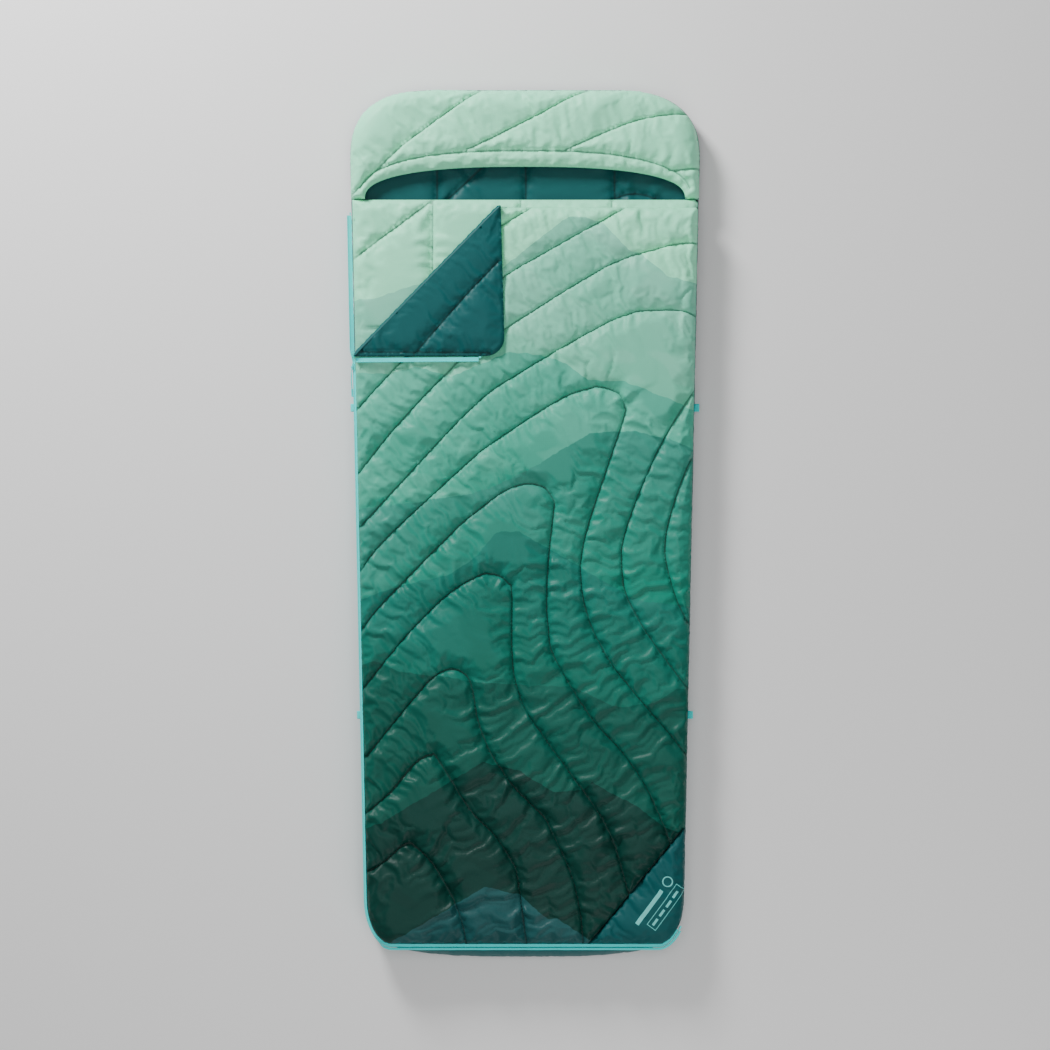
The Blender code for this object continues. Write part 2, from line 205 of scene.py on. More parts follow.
CYAN = srgb(24, 252, 250)
CORD_D, CORD_RUN, CORD_SIDES, CORD_STEPS = 0.0026, 0.040, 14, 40
CORD_SWAY, CORD_SAG = 0.0008, 0.006
WALL_MIDDLE = 0.0007
cord_start = Vector((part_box("pull_tab")[0][0] + WALL_MIDDLE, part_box("pull_cord")[1][1], ZIP_Z))
SIDE_ANGLE = sqrt(SIDE_TAPER**2 / (1 + SIDE_TAPER**2))
down_seam = Vector((SIDE_ANGLE, -sqrt(1 - SIDE_ANGLE**2), 0))
cord_path = []
for i in range(CORD_STEPS + 1):
    t = i / CORD_STEPS
    sway = Vector((-1, 0, 0)) * CORD_SWAY * sin(pi * t)
    cord_path.append(cord_start + down_seam * CORD_RUN * t + sway - Vector((0, 0, CORD_SAG * t * t)))
points, faces = cord_tube(cord_path, CORD_D / 2, CORD_SIDES)
pull_cord = new_mesh_piece("pull_cord_braid", points, faces)

cord_weave, tree, shader = principled("cord_braid", CYAN, 0.6)
braid = wire(
    tree, "ShaderNodeTexWave", {"Vector": object_place(tree), "Scale": 420},
    wave_type="BANDS", bands_direction="DIAGONAL",
)
relief(tree, shader, braid, 0.0004)
grip = dress_solid("cord_end", cord_weave)
dress(pull_cord, cord_weave, "pull", "cord", "pull_cord")

# ---------------------------------------------------------------- cloth for every panel
# Each panel is cut as a flat sheet, stitched along its quilting lines and blown up by its
# filling. The stitched lines stay down, so the cloth between them swells and puckers.
ON_LINE = 0.0001
ROUTE_STEP = 0.002
JITTER, JITTER_SEED = 0.18, 7
TUCK_PITCH, TUCK_REACH, TUCK_HEIGHT = 0.016, 0.011, 0.0024
FOLD_PITCH, FOLD_REACH, FOLD_HEIGHT = 0.050, 0.034, 0.0068
FLAT_EDGE, FLAT_SEAM = 0.012, 0.007


def length_along(points):
    """Distance from the first point to each point of a line."""
    return np.concatenate([[0], np.cumsum(np.linalg.norm(np.diff(points, axis=0), axis=1))])


def at_lengths(points, run, at):
    """Places at given distances along a line."""
    return np.column_stack([np.interp(at, run, axis) for axis in points.T])


def smooth_route(knots, step):
    """Evenly spaced points on a smooth line through a few knots."""
    p = np.array(knots, float)
    if len(p) > 2:
        q = np.vstack([2 * p[0] - p[1], p, 2 * p[-1] - p[-2]])
        t = np.linspace(0, 1, 24, endpoint=False)[:, None]
        dense = []
        for a, b, c, d in zip(q, q[1:], q[2:], q[3:]):
            square = 2 * a - 5 * b + 4 * c - d
            cube = 3 * b - a - 3 * c + d
            dense.append(0.5 * (2 * b + (c - a) * t + square * t**2 + cube * t**3))
        p = np.vstack(dense + [p[-1:]])
    run = length_along(p)
    count = max(2, int(round(run[-1] / step)) + 1)
    return at_lengths(p, run, np.linspace(0, run[-1], count))


def even_outline(outline, step):
    """The same closed outline with evenly spaced points and its sharp corners kept."""
    loop = []
    n = len(outline)
    for i in range(n):
        a, b = np.array(outline[i], float), np.array(outline[(i + 1) % n], float)
        count = max(1, int(round(hypot(*(b - a)) / step)))
        loop += [a + (b - a) * k / count for k in range(count)]
    return np.array(loop)


def inside(points, loop):
    """Which points lie inside a closed loop."""
    x, y = points[:, 0], points[:, 1]
    hit = np.zeros(len(points), bool)
    for (ax, ay), (bx, by) in zip(loop, np.roll(loop, -1, axis=0)):
        if ay == by:
            continue
        cross = (y < ay) != (y < by)
        hit ^= cross & (x < ax + (y - ay) * (bx - ax) / (by - ay))
    return hit


def tree_of(points):
    tree = kdtree.KDTree(len(points))
    for i, p in enumerate(points):
        tree.insert((p[0], p[1], 0), i)
    tree.balance()
    return tree


def nearest(tree, points):
    """Distance to the nearest point of a tree, and its number, for each of some plan points."""
    found = [tree.find((x, y, 0)) for x, y in points]
    return np.array([f[2] for f in found]), np.array([f[1] for f in found])


def wobble(s, seed):
    """A smooth uneven wave along a seam, between about -1 and 1."""
    slow = 0.25 * np.sin(s * 0.61 + 3.7 * seed)
    return 0.45 * np.sin(s * 1.00 + seed) + 0.30 * np.sin(s * 1.73 + 2.1 * seed) + slow


def stitch_lines(seams, loop, step):
    """The stretch of each quilting line on the panel, and the outline points that it meets."""
    border = tree_of(loop)
    routes, meets = [], []
    for knots in seams:
        route = smooth_route(knots, step)
        far, spot = nearest(border, route)
        index = np.flatnonzero(inside(route, loop) & (far > 0.55 * step))
        if len(index) < 2:
            continue
        first, last = index[0], index[-1]
        start = spot[first] if first > 0 and far[first] < 1.6 * step else None
        end = spot[last] if last < len(route) - 1 and far[last] < 1.6 * step else None
        routes.append(route[first:last + 1])
        meets.append((start, end))
    return routes, meets


def loose_points(loop, fixed, step):
    """Slightly uneven rows of points over a panel, clear of its outline and its lines."""
    low, high = loop.min(axis=0), loop.max(axis=0)
    row_gap = step * 0.866
    rows = int((high[1] - low[1]) / row_gap) + 1
    cols = int((high[0] - low[0]) / step) + 1
    grid = np.array([
        (low[0] + (c + 0.5 * (r % 2)) * step, low[1] + r * row_gap) for r in range(rows) for c in range(cols)
    ])
    grid += np.random.default_rng(JITTER_SEED).uniform(-JITTER, JITTER, grid.shape) * step
    far, _ = nearest(tree_of(fixed), grid)
    return grid[(far > 0.62 * step) & inside(grid, loop)]


def cut_panel(outline, seams, step):
    """Triangles of a flat panel whose edges follow its outline and its quilting lines."""
    loop = even_outline(outline, step)
    routes, meets = stitch_lines(seams, loop, step)
    fixed = np.vstack([loop] + routes)
    points = np.vstack([fixed, loose_points(loop, fixed, step)])
    edges = [(i, (i + 1) % len(loop)) for i in range(len(loop))]
    at = len(loop)
    for route, (start, end) in zip(routes, meets):
        edges += [(at + i, at + i + 1) for i in range(len(route) - 1)]
        if start is not None:
            edges.append((int(start), at))
        if end is not None:
            edges.append((at + len(route) - 1, int(end)))
        at += len(route)
    verts, _, faces, _, _, _ = delaunay_2d_cdt([Vector(p) for p in points], edges, [], 0, 1e-6)
    flat = np.array([(v.x, v.y) for v in verts])
    faces = np.array([f for f in faces if len(f) == 3])
    flat, faces = keep_faces(flat, faces, inside(flat[faces].mean(axis=1), loop))
    return flat, faces, loop, routes


def keep_faces(points, faces, kept):
    """Only the kept faces, with the points that they use."""
    faces = faces[kept]
    used = np.unique(faces)
    renumber = -np.ones(len(points), int)
    renumber[used] = np.arange(len(used))
    return points[used], renumber[faces]


def points_of(mesh):
    """A mesh's points, one row each."""
    flat = np.empty(len(mesh.vertices) * 3)
    mesh.vertices.foreach_get("co", flat)
    return flat.reshape(-1, 3)


def move_points(piece, points):
    piece.data.vertices.foreach_set("co", points.ravel())
    piece.data.update()


def mark_cut(piece, places, seam_gap=None):
    """Stores where each point lay on the flat cloth, and how far it is from a stitched line."""
    mesh = piece.data
    corners = np.empty(len(mesh.loops), np.int64)
    mesh.loops.foreach_get("vertex_index", corners)
    layer = mesh.uv_layers.new(name="cut")
    layer.data.foreach_set("uv", np.asarray(places, np.float32)[corners].ravel())
    if seam_gap is not None:
        gap = mesh.attributes.new("seam_gap", "FLOAT", "POINT")
        gap.data.foreach_set("value", np.asarray(seam_gap, np.float32))


def gathers(run, seed, seam_gap):
    """Height of the tucks and folds that the stitching pulls into the cloth beside it."""
    bend = 0.5 * np.sin(seam_gap / 0.011 + 3 * seed) + 0.4 * np.sin(seam_gap / 0.019 + run / 0.05)
    tucks = np.abs(wobble(run * 2 * pi / TUCK_PITCH + bend, seed)) * np.exp(-seam_gap / TUCK_REACH)
    folds = np.maximum(wobble(run * 2 * pi / FOLD_PITCH + bend, seed + 5), -0.25)
    folds = folds * np.exp(-seam_gap / FOLD_REACH)
    patchy = 0.62 + 0.55 * np.sin(run / 0.071 + 1.7 * seed) * np.sin(run / 0.043 + seed)
    return patchy * (TUCK_HEIGHT * tucks + FOLD_HEIGHT * folds)


def quilt(name, outline, seams, step, height, pucker, frames=0, cap=0.006, swell=0.03, facing=1):
    """A quilted sheet. height(x, y, seam_gap, edge_gap) gives its smooth form."""
    flat, faces, loop, routes = cut_panel(outline, seams, step)
    x, y = flat.T
    sewn, _ = nearest(tree_of(np.vstack([loop] + routes)), flat)
    edge_gap, _ = nearest(tree_of(even_outline(outline, step / 4)), flat)
    edge_gap[nearest(tree_of(loop), flat)[0] < ON_LINE] = 0
    seam_gap, run, seed = np.full(len(flat), 1.0), y, np.zeros(len(flat))
    if seams:
        fine = [smooth_route(knots, ROUTE_STEP) for knots in seams]
        seam_gap, spot = nearest(tree_of(np.vstack(fine)), flat)
        seam_gap[(sewn < ON_LINE) & (edge_gap > 0)] = 0
        run = np.concatenate([np.arange(len(route)) * ROUTE_STEP for route in fine])[spot]
        seeds = [np.full(len(route), number * 2.3 + 1) for number, route in enumerate(fine)]
        seed = np.concatenate(seeds)[spot]
    calm = np.clip(edge_gap / FLAT_EDGE, 0, 1) * np.clip(seam_gap / FLAT_SEAM, 0, 1)
    z = height(x, y, seam_gap, edge_gap) + calm * pucker * gathers(run, seed, seam_gap)
    piece = new_mesh_piece(name, np.column_stack([x, y, z]), faces if facing > 0 else faces[:, ::-1])
    # The distance to the nearest stitching or edge drives the painted shade that the finish lays along the
    # grooves and, more weakly, along the edges.
    mark_cut(piece, flat, np.minimum(seam_gap, edge_gap + ROUTE_STEP))
    if frames:
        pins = piece.vertex_groups.new(name="stitched")
        pins.add([int(i) for i in np.flatnonzero(sewn < ON_LINE)], 1.0, "REPLACE")
        inflate(piece, frames, cap, swell)
    return piece, routes


def inflate(piece, frames, cap, swell):
    """Let the filling blow the stitched cloth up for a few steps, and keep the result."""
    before = points_of(piece.data)
    cloth = piece.modifiers.new("filling", "CLOTH")
    settings = cloth.settings
    settings.vertex_group_mass = "stitched"
    settings.quality = 4
    settings.mass = 0.12
    settings.tension_stiffness = 12
    settings.compression_stiffness = 12
    settings.shear_stiffness = 4
    settings.bending_stiffness = 0.12
    settings.use_pressure = True
    settings.uniform_pressure_force = 2.5
    settings.shrink_min = -swell
    settings.effector_weights.gravity = 0
    cloth.collision_settings.use_collision = False
    cloth.collision_settings.use_self_collision = False
    cloth.point_cache.frame_start = 1
    cloth.point_cache.frame_end = frames
    scene = bpy.context.scene
    for step in range(1, frames + 1):
        scene.frame_set(step)
    graph = bpy.context.evaluated_depsgraph_get()
    after = points_of(piece.evaluated_get(graph).data)
    piece.modifiers.remove(cloth)
    scene.frame_set(1)
    move_points(piece, before + np.clip(after - before, -cap, cap))


def swell_up(gap, width):
    """Rounded rise from a stitched line, full at a distance of width."""
    return np.sqrt(1 - (1 - np.clip(gap / width, 0, 1)) ** 2)


# ---------------------------------------------------------------- shell and lining fabrics
# Light nylon ripstop with a satin face. The stitched lines and the sewn edges are drawn
# darker: painted shade, standing in for the shade that falls in their grooves.
THREAD_PITCH, THREAD_SHARE = 0.0045, 0.07
# How far from a stitched line the painted shade of the groove reaches.
GROOVE_SHADE_REACH = 0.0035


def sums(tree, operation, *sources, clamp=False):
    return wire(tree, "ShaderNodeMath", dict(enumerate(sources)), operation=operation, use_clamp=clamp)


def blend_color(tree, factor, first, second):
    first, second = [c if isinstance(c, bpy.types.NodeSocket) else (*c, 1) for c in (first, second)]
    return wire(tree, "ShaderNodeMix", {0: factor, 6: first, 7: second}, out=2, data_type="RGBA")


def noise(tree, place, scale, detail=2.0, roughness=0.5):
    inputs = {"Vector": place, "Scale": scale, "Detail": detail, "Roughness": roughness}
    return wire(tree, "ShaderNodeTexNoise", inputs)


def flat_place(tree):
    """Where a point of the cloth lay when it was cut, and its x and y."""
    place = wire(tree, "ShaderNodeUVMap", {}, uv_map="cut")
    split = tree.nodes.new("ShaderNodeSeparateXYZ")
    tree.links.new(place, split.inputs[0])
    return place, split.outputs[0], split.outputs[1]


def ripstop(tree, shader, place, x, y, color, crease=0.0007):
    """Satin ripstop: a fine grid of thicker threads, small creases, and painted shade along the stitched
    lines and sewn edges.
    """
    def threads(axis):
        wave = sums(tree, "PINGPONG", sums(tree, "MULTIPLY", axis, 1 / THREAD_PITCH), 0.5)
        return sums(tree, "LESS_THAN", wave, THREAD_SHARE)

    grid = sums(tree, "MAXIMUM", threads(x), threads(y))
    creases = noise(tree, place, 48, 2.5, 0.55)
    height = sums(tree, "ADD", creases, sums(tree, "MULTIPLY", grid, 0.04))
    relief(tree, shader, height, crease, 0.6)
    # Painted shade in the grooves: the colour darkens to 0.45 of itself on a stitched line and returns to
    # full a few millimetres away.
    gap = wire(tree, "ShaderNodeAttribute", {}, out="Fac", attribute_name="seam_gap")
    out_of_groove = sums(tree, "DIVIDE", gap, GROOVE_SHADE_REACH, clamp=True)
    shade = sums(tree, "ADD", sums(tree, "MULTIPLY", out_of_groove, 0.55), 0.45, clamp=True)
    shade = sums(tree, "SUBTRACT", shade, sums(tree, "MULTIPLY", grid, 0.03))
    shaded = wire(tree, "ShaderNodeVectorMath", {0: color, "Scale": shade}, operation="SCALE")
    tree.links.new(shaded, shader.inputs["Base Color"])
    shader.inputs["Specular IOR Level"].default_value = 0.22


def plain_cloth(name, color, roughness):
    finish, tree, shader = principled(name, color, roughness)
    ripstop(tree, shader, *flat_place(tree), color)
    return finish


teal_lining = plain_cloth("teal_lining", srgb(0, 84, 85), 0.5)
dark_shell = plain_cloth("dark_teal_shell", srgb(0, 90, 92), 0.45)

# ---------------------------------------------------------------- printed shell fabric
# The fronts and the hood are cut from one printed cloth: pale sky at the head, then ridge
# behind ridge of hills, each darker than the one behind it, and a grey valley at the foot.
SKY = srgb(150, 248, 203)
SPAN_X, SPAN_Y = 0.89, 2.2
RAGGED, RIDGE_BLUR = 0.012, 0.0012
FACE_SHARE, FADE_SHARE = 0.30, 0.62
FACE_LEVEL, FACE_EDGE = 0.47, 28
# Each hill: its ridge line, its lit and its shaded colour, and how far down it darkens.
HILLS = [
    ([(-0.445, 0.540), (-0.361, 0.543), (-0.270, 0.576), (-0.057, 0.614), (0.049, 0.698), (0.105, 0.739),
      (0.141, 0.739), (0.184, 0.727), (0.246, 0.662), (0.277, 0.650), (0.337, 0.596), (0.445, 0.573)],
     srgb(130, 214, 184), srgb(98, 200, 166), 0.35),
    ([(-0.445, 0.367), (-0.320, 0.362), (-0.260, 0.379), (-0.176, 0.355), (-0.035, 0.415), (0.040, 0.408),
      (0.097, 0.386), (0.148, 0.348), (0.239, 0.343), (0.321, 0.312), (0.445, 0.259)],
     srgb(84, 188, 160), srgb(40, 156, 130), 0.30),
    ([(-0.445, 0.033), (-0.155, 0.069), (-0.092, 0.084), (0.009, 0.132), (0.153, 0.218), (0.217, 0.225),
      (0.261, 0.225), (0.352, 0.205), (0.445, 0.165)],
     srgb(52, 146, 127), srgb(8, 128, 106), 0.30),
    ([(-0.445, -0.195), (-0.296, -0.144), (-0.186, -0.120), (-0.123, -0.082), (-0.068, -0.018),
      (-0.015, -0.015), (0.155, -0.113), (0.268, -0.179), (0.366, -0.191), (0.445, -0.202)],
     srgb(22, 120, 105), srgb(0, 104, 87), 0.28),
    ([(-0.445, -0.358), (-0.363, -0.324), (-0.301, -0.351), (-0.121, -0.375), (0.121, -0.389),
      (0.225, -0.437), (0.309, -0.425), (0.361, -0.392), (0.445, -0.387)],
     srgb(0, 92, 78), srgb(0, 82, 69), 0.26),
    ([(-0.445, -0.752), (-0.344, -0.713), (-0.102, -0.567), (-0.015, -0.586), (0.068, -0.639),
      (0.138, -0.636), (0.160, -0.615), (0.265, -0.672), (0.334, -0.725), (0.445, -0.756)],
     srgb(0, 62, 53), srgb(0, 54, 46), 0.26),
    ([(-0.445, -1.040), (-0.323, -0.999), (-0.095, -0.863), (-0.006, -0.888), (0.054, -0.944),
      (0.076, -0.941), (0.153, -0.994), (0.275, -1.044), (0.445, -1.092)],
     srgb(30, 84, 85), srgb(10, 70, 71), 0.12),
]


def hill_line(tree, x, knots):
    """Height of a ridge over the cloth's width."""
    across = sums(tree, "ADD", sums(tree, "DIVIDE", x, SPAN_X), 0.5)
    curve = tree.nodes.new("ShaderNodeFloatCurve")
    line = curve.mapping.curves[0]
    scaled = [(kx / SPAN_X + 0.5, ky / SPAN_Y + 0.5) for kx, ky in knots]
    line.points[0].location = scaled[0]
    line.points[1].location = scaled[-1]
    for spot in scaled[1:-1]:
        line.points.new(*spot)
    for point in line.points:
        point.handle_type = "VECTOR"
    curve.mapping.update()
    tree.links.new(across, curve.inputs["Value"])
    return sums(tree, "MULTIPLY", sums(tree, "SUBTRACT", curve.outputs[0], 0.5), SPAN_Y)


def slopes(tree, x, y, number):
    """Lit faces of a hill: slanting patches with crisp edges."""
    lean = sums(tree, "ADD", sums(tree, "MULTIPLY", x, 5.5), sums(tree, "MULTIPLY", y, 4.5))
    steep = sums(tree, "MULTIPLY", y, 7.0)
    slanted = wire(tree, "ShaderNodeCombineXYZ", {0: lean, 1: steep, 2: number * 3.7})
    patches = noise(tree, slanted, 1.0, 2.5)
    return sums(tree, "MULTIPLY", sums(tree, "SUBTRACT", patches, FACE_LEVEL), FACE_EDGE, clamp=True)


printed_shell, tree, shader = principled("printed_shell", SKY, 0.46)
place, x, y = flat_place(tree)
ragged = sums(tree, "MULTIPLY", sums(tree, "SUBTRACT", noise(tree, place, 42), 0.5), RAGGED)
color = SKY
for number, (knots, lit, shade, depth) in enumerate(HILLS):
    line = sums(tree, "ADD", hill_line(tree, x, knots), ragged)
    below = sums(tree, "SUBTRACT", line, y)
    fade = sums(tree, "DIVIDE", below, depth, clamp=True)
    face = sums(tree, "MULTIPLY", slopes(tree, x, y, number), FACE_SHARE)
    mixing = sums(tree, "ADD", face, sums(tree, "MULTIPLY", fade, FADE_SHARE), clamp=True)
    hill = blend_color(tree, mixing, lit, shade)
    color = blend_color(tree, sums(tree, "DIVIDE", below, RIDGE_BLUR, clamp=True), color, hill)
ripstop(tree, shader, place, x, y, color)

# ---------------------------------------------------------------- stitching thread
# Lockstitches laid in the grooves of the quilting lines, each a short pinched bead of thread.
STITCH, STITCH_GAP = 0.0034, 0.0009
THREAD_R, THREAD_LIFT = 0.00035, 0.0004


def thread_finish(name, color):
    finish, tree, shader = principled(name, color, 0.55)
    relief(tree, shader, noise(tree, object_place(tree), 900), 0.0002)
    return finish


green_thread = thread_finish("green_thread", srgb(0, 92, 82))
mint_thread = thread_finish("mint_thread", srgb(150, 205, 188))


def surface_under(piece, flat):
    """Points of a finished panel nearest to places on its flat cut, smoothed along the line."""
    points = points_of(piece.data)
    path = points[nearest(tree_of(points[:, :2]), flat)[1]]
    if len(path) > 8:
        around = np.pad(path, ((2, 2), (0, 0)), mode="edge")
        path = np.column_stack([np.convolve(axis, np.ones(5) / 5, mode="valid") for axis in around.T])
    return path


def stitch_rows(name, piece, routes, finish, body, side=1):
    """Beads of thread along quilting lines, lying on the finished cloth."""
    beads, faces = [], []
    for route in routes:
        path = surface_under(piece, smooth_route(route, 0.0011) if len(route) > 2 else route)
        path[:, 2] += THREAD_LIFT * side
        run = length_along(path)
        at = STITCH_GAP
        while at + STITCH < run[-1]:
            start, end = at_lengths(path, run, (at, at + STITCH))
            along = (end - start) / max(np.linalg.norm(end - start), 1e-9)
            across = np.cross(along, (0, 0, 1))
            across = across / max(np.linalg.norm(across), 1e-9)
            up = np.cross(across, along)
            first = len(beads)
            beads.append(start - up * THREAD_R * side)
            for share in (0.25, 0.75):
                middle = start + (end - start) * share
                for c, s in ((1, 0), (0, 1), (-1, 0), (0, -1)):
                    beads.append(middle + THREAD_R * (across * c + up * s))
            beads.append(end - up * THREAD_R * side)
            for k in range(4):
                w = (k + 1) % 4
                faces.append((first, first + 1 + w, first + 1 + k))
                faces.append((first + 1 + k, first + 1 + w, first + 5 + w, first + 5 + k))
                faces.append((first + 9, first + 5 + k, first + 5 + w))
            at += STITCH + STITCH_GAP
    thread = new_mesh_piece(name, beads, faces)
    thread.data.materials.append(finish)
    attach(thread, body)


def arc(centre, semi, power, start, end, count):
    """Points on a rounded corner, between two angles in quarter turns."""
    spots = []
    for i in range(count + 1):
        angle = (start + (end - start) * i / count) * pi / 2
        c, s = cos(angle), sin(angle)
        spots.append((
            centre[0] + semi[0] * abs(c) ** (2 / power) * (1 if c >= 0 else -1),
            centre[1] + semi[1] * abs(s) ** (2 / power) * (1 if s >= 0 else -1),
        ))
    return spots


# ---------------------------------------------------------------- back panel
# The padded back that lies on the ground: a dark teal shell that turns up round the sides
# and swells over the foot end, with the teal lining sewn inside it.
HEAD_Y, FOOT_Y = back_high[1], back_low[1]
HEAD_CORNER, HEAD_POWER = (0.22, 0.17), 2.6
FOOT_POWER = 3.4
ZIP_FOOT_Y = -1.0145


def head_outline(inset, count=28):
    semi = (HEAD_CORNER[0] - inset, HEAD_CORNER[1] - inset)
    spot = (SHOULDER_HALF - HEAD_CORNER[0], HEAD_Y - HEAD_CORNER[1])
    return arc(spot, semi, HEAD_POWER, 0, 1, count) + arc((-spot[0], spot[1]), semi, HEAD_POWER, 1, 2, count)


def foot_outline(inset, count=64):
    semi = (FOOT_HALF - inset, TAPER_END_Y - FOOT_Y - inset)
    return arc((0, TAPER_END_Y), semi, FOOT_POWER, 2, 4, count)


SIDE_PROFILE = [
    (0.030, 0.0), (0.014, 0.0004), (0.005, 0.0035), (0.001, 0.010), (0.0, 0.019), (0.0005, 0.028),
    (0.002, 0.036), (0.0045, 0.043), (0.0065, 0.048),
]
SIDE_STEP = 0.006
FOOT_SWELL, HEAD_DROP = 0.30, 0.35
FOOT_FROM_Y, FOOT_FADE, HEAD_FROM_Y, HEAD_FADE = -0.86, 0.10, 0.76, 0.05
GATHER_PITCH, GATHER_DEPTH = 0.017, 0.0012
BILLOW_PITCH, BILLOW_DEPTH = 0.14, 0.0018
ZIP_SEAM = 0.0045
edge = even_outline(head_outline(0) + foot_outline(0), SIDE_STEP)
before, after = np.roll(edge, 1, axis=0), np.roll(edge, -1, axis=0)
along = (after - before) / np.linalg.norm(after - before, axis=1)[:, None]
inward = np.column_stack([-along[:, 1], along[:, 0]])
run = np.arange(len(edge)) * SIDE_STEP
foot_share = np.clip((FOOT_FROM_Y - edge[:, 1]) / FOOT_FADE, 0, 1)
foot_share = foot_share * foot_share * (3 - 2 * foot_share)
head_share = np.clip((edge[:, 1] - HEAD_FROM_Y) / HEAD_FADE, 0, 1)
gather = GATHER_DEPTH * wobble(run * 2 * pi / GATHER_PITCH, 2.0)
billow = BILLOW_DEPTH * wobble(run * 2 * pi / BILLOW_PITCH, 4.0)
top_inset = np.maximum(ZIP_FOOT_Y - ZIP_SEAM - edge[:, 1], 0.006)
points, faces = [], []
rows, n = len(SIDE_PROFILE), len(edge)
for row, (inset, up) in enumerate(SIDE_PROFILE):
    t = row / (rows - 1)
    hollow = np.sin(pi * min(t * 1.15, 1)) * (gather + billow)
    pull = inset + foot_share * t**2.2 * (top_inset - inset)
    lift = up * (1 + FOOT_SWELL * foot_share * t - HEAD_DROP * head_share * t)
    if row > 1:
        lift = lift + gather * t * (1 - t) * 4
    spots = edge + inward * (pull + np.abs(hollow) * 0.9)[:, None]
    points.append(np.column_stack([spots, np.maximum(lift, 0.0)]))
for row in range(rows - 1):
    for i in range(n):
        j = (i + 1) % n
        faces.append((row * n + i, row * n + j, (row + 1) * n + j, (row + 1) * n + i))
back_side = new_mesh_piece("back_shell_side", np.vstack(points), faces)
side_points = points_of(back_side.data)
upward = np.column_stack([side_points[:, 0] + side_points[:, 2], side_points[:, 1]])
# Painted shade: the top row is given a seam distance of zero, so the finish darkens the cloth along the top
# edge of the side.
mark_cut(back_side, upward, np.repeat([1.0] * (rows - 2) + [0.004, 0.0], n))
subdivide = back_side.modifiers.new("fine", "SUBSURF")
subdivide.levels = subdivide.render_levels = 1
dress(
    back_side, dark_shell, "back", "dark_teal_shell",
    "back_shell", "side_gusset_left", "side_gusset_right", "foot_gusset", "back_insulation",
)

BACK_LINES = [[(x, -1.03), (x * 1.05, 1.03)] for x in (-0.205, 0.0, 0.205)]
UNDER_INSET, UNDER_CUPPED, UNDER_TOP = 0.030, 0.0028, 0.004


def back_under(x, y, seam_gap, edge_gap):
    return UNDER_CUPPED * (1 - swell_up(np.minimum(seam_gap, 0.05), 0.03))


outline = head_outline(UNDER_INSET) + foot_outline(UNDER_INSET)
back_base, _ = quilt("back_shell_base", outline, BACK_LINES, 0.012, back_under, 0.3, facing=-1)
spots = points_of(back_base.data)
spots[:, 2] = np.clip(spots[:, 2], 0.0, UNDER_TOP)
move_points(back_base, spots)
dress(back_base, dark_shell, "back", "dark_teal_shell")

LINING_LINES = [[(x, -1.0), (x, 1.03)] for x in (-0.212, 0.002, 0.216)]
LINING_LINES += [
    [(-0.104, 0.862), (-0.30, 0.68)],
    [(0.22, 0.789), (0.257, 0.799), (0.306, 0.790), (0.36, 0.75)],
]
LINING_INSET, LINING_Z, LINING_SWELL = 0.012, 0.029, 0.010


def back_inside(x, y, seam_gap, edge_gap):
    return LINING_Z + LINING_SWELL * swell_up(np.minimum(seam_gap, edge_gap), 0.035)


outline = head_outline(LINING_INSET) + foot_outline(LINING_INSET)
back_lining, routes = quilt("back_lining_cloth", outline, LINING_LINES, 0.0085, back_inside, 1.3)
dress(back_lining, teal_lining, "back", "teal_lining", "back_lining")
stitch_rows("back_lining_stitches", back_lining, routes, green_thread, "back")

# ---------------------------------------------------------------- hood pocket
# A quilted hood over the head end, sewn to the back panel all round. Its front edge is a
# wide hem in a shallow arch, which leaves the mouth of the pocket open.
HOOD_LOW_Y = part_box("hood_rim")[0][1] - 0.0038
MOUTH, RIM, MOUTH_POWER = (0.385, 0.077), (0.400, 0.115), 2.5
HOOD_INSET = 0.001
HOOD_EDGE_Z, LIP_Z, HOOD_BODY_Z, HOOD_SWELL = 0.031, 0.058, 0.064, 0.014
UNDER_HOOD_Z, UNDER_HOOD_DROP, UNDER_HOOD_LIP = 0.046, 0.012, 0.022


def mouth(semi, count=44):
    return arc((0, HOOD_LOW_Y), semi, MOUTH_POWER, 0, 2, count)


def hood_outline(inset):
    side = side_x(HOOD_LOW_Y) - inset
    return [(side, HOOD_LOW_Y)] + head_outline(inset) + [(-side, HOOD_LOW_Y)] + mouth(MOUTH)[::-1]


HOOD_LINES = [
    [(-0.423, 0.787), (-0.322, 0.886), (-0.258, 0.939), (-0.132, 1.029), (-0.085, 1.056)],
    [(-0.140, 0.903), (-0.111, 0.915), (0.033, 0.986), (0.109, 1.027), (0.179, 1.056)],
    [(0.100, 0.903), (0.241, 0.962), (0.324, 0.982), (0.43, 0.991)],
    [(0.346, 0.851), (0.43, 0.858)],
    mouth(RIM, 20)[1:-1],
]
mouth_tree = tree_of(smooth_route(mouth(MOUTH), 0.003))


def hood_form(x, y, seam_gap, edge_gap):
    lip, _ = nearest(mouth_tree, np.column_stack([x, y]))
    at_lip = np.exp(-lip / 0.02)
    low = HOOD_EDGE_Z * (1 - at_lip) + LIP_Z * at_lip
    body = low + (HOOD_BODY_Z - low) * swell_up(edge_gap, 0.05)
    return body + HOOD_SWELL * swell_up(np.minimum(seam_gap, edge_gap), 0.034)


hood_quilt, routes = quilt(
    "hood_quilt", hood_outline(HOOD_INSET), HOOD_LINES, 0.0052, hood_form, 0.9,
    frames=12, cap=0.006, swell=0.03,
)
dress(hood_quilt, printed_shell, "back", "printed_shell", "hood_shell", "hood_rim", "hood_insulation")
stitch_rows("hood_stitches", hood_quilt, routes, mint_thread, "back")


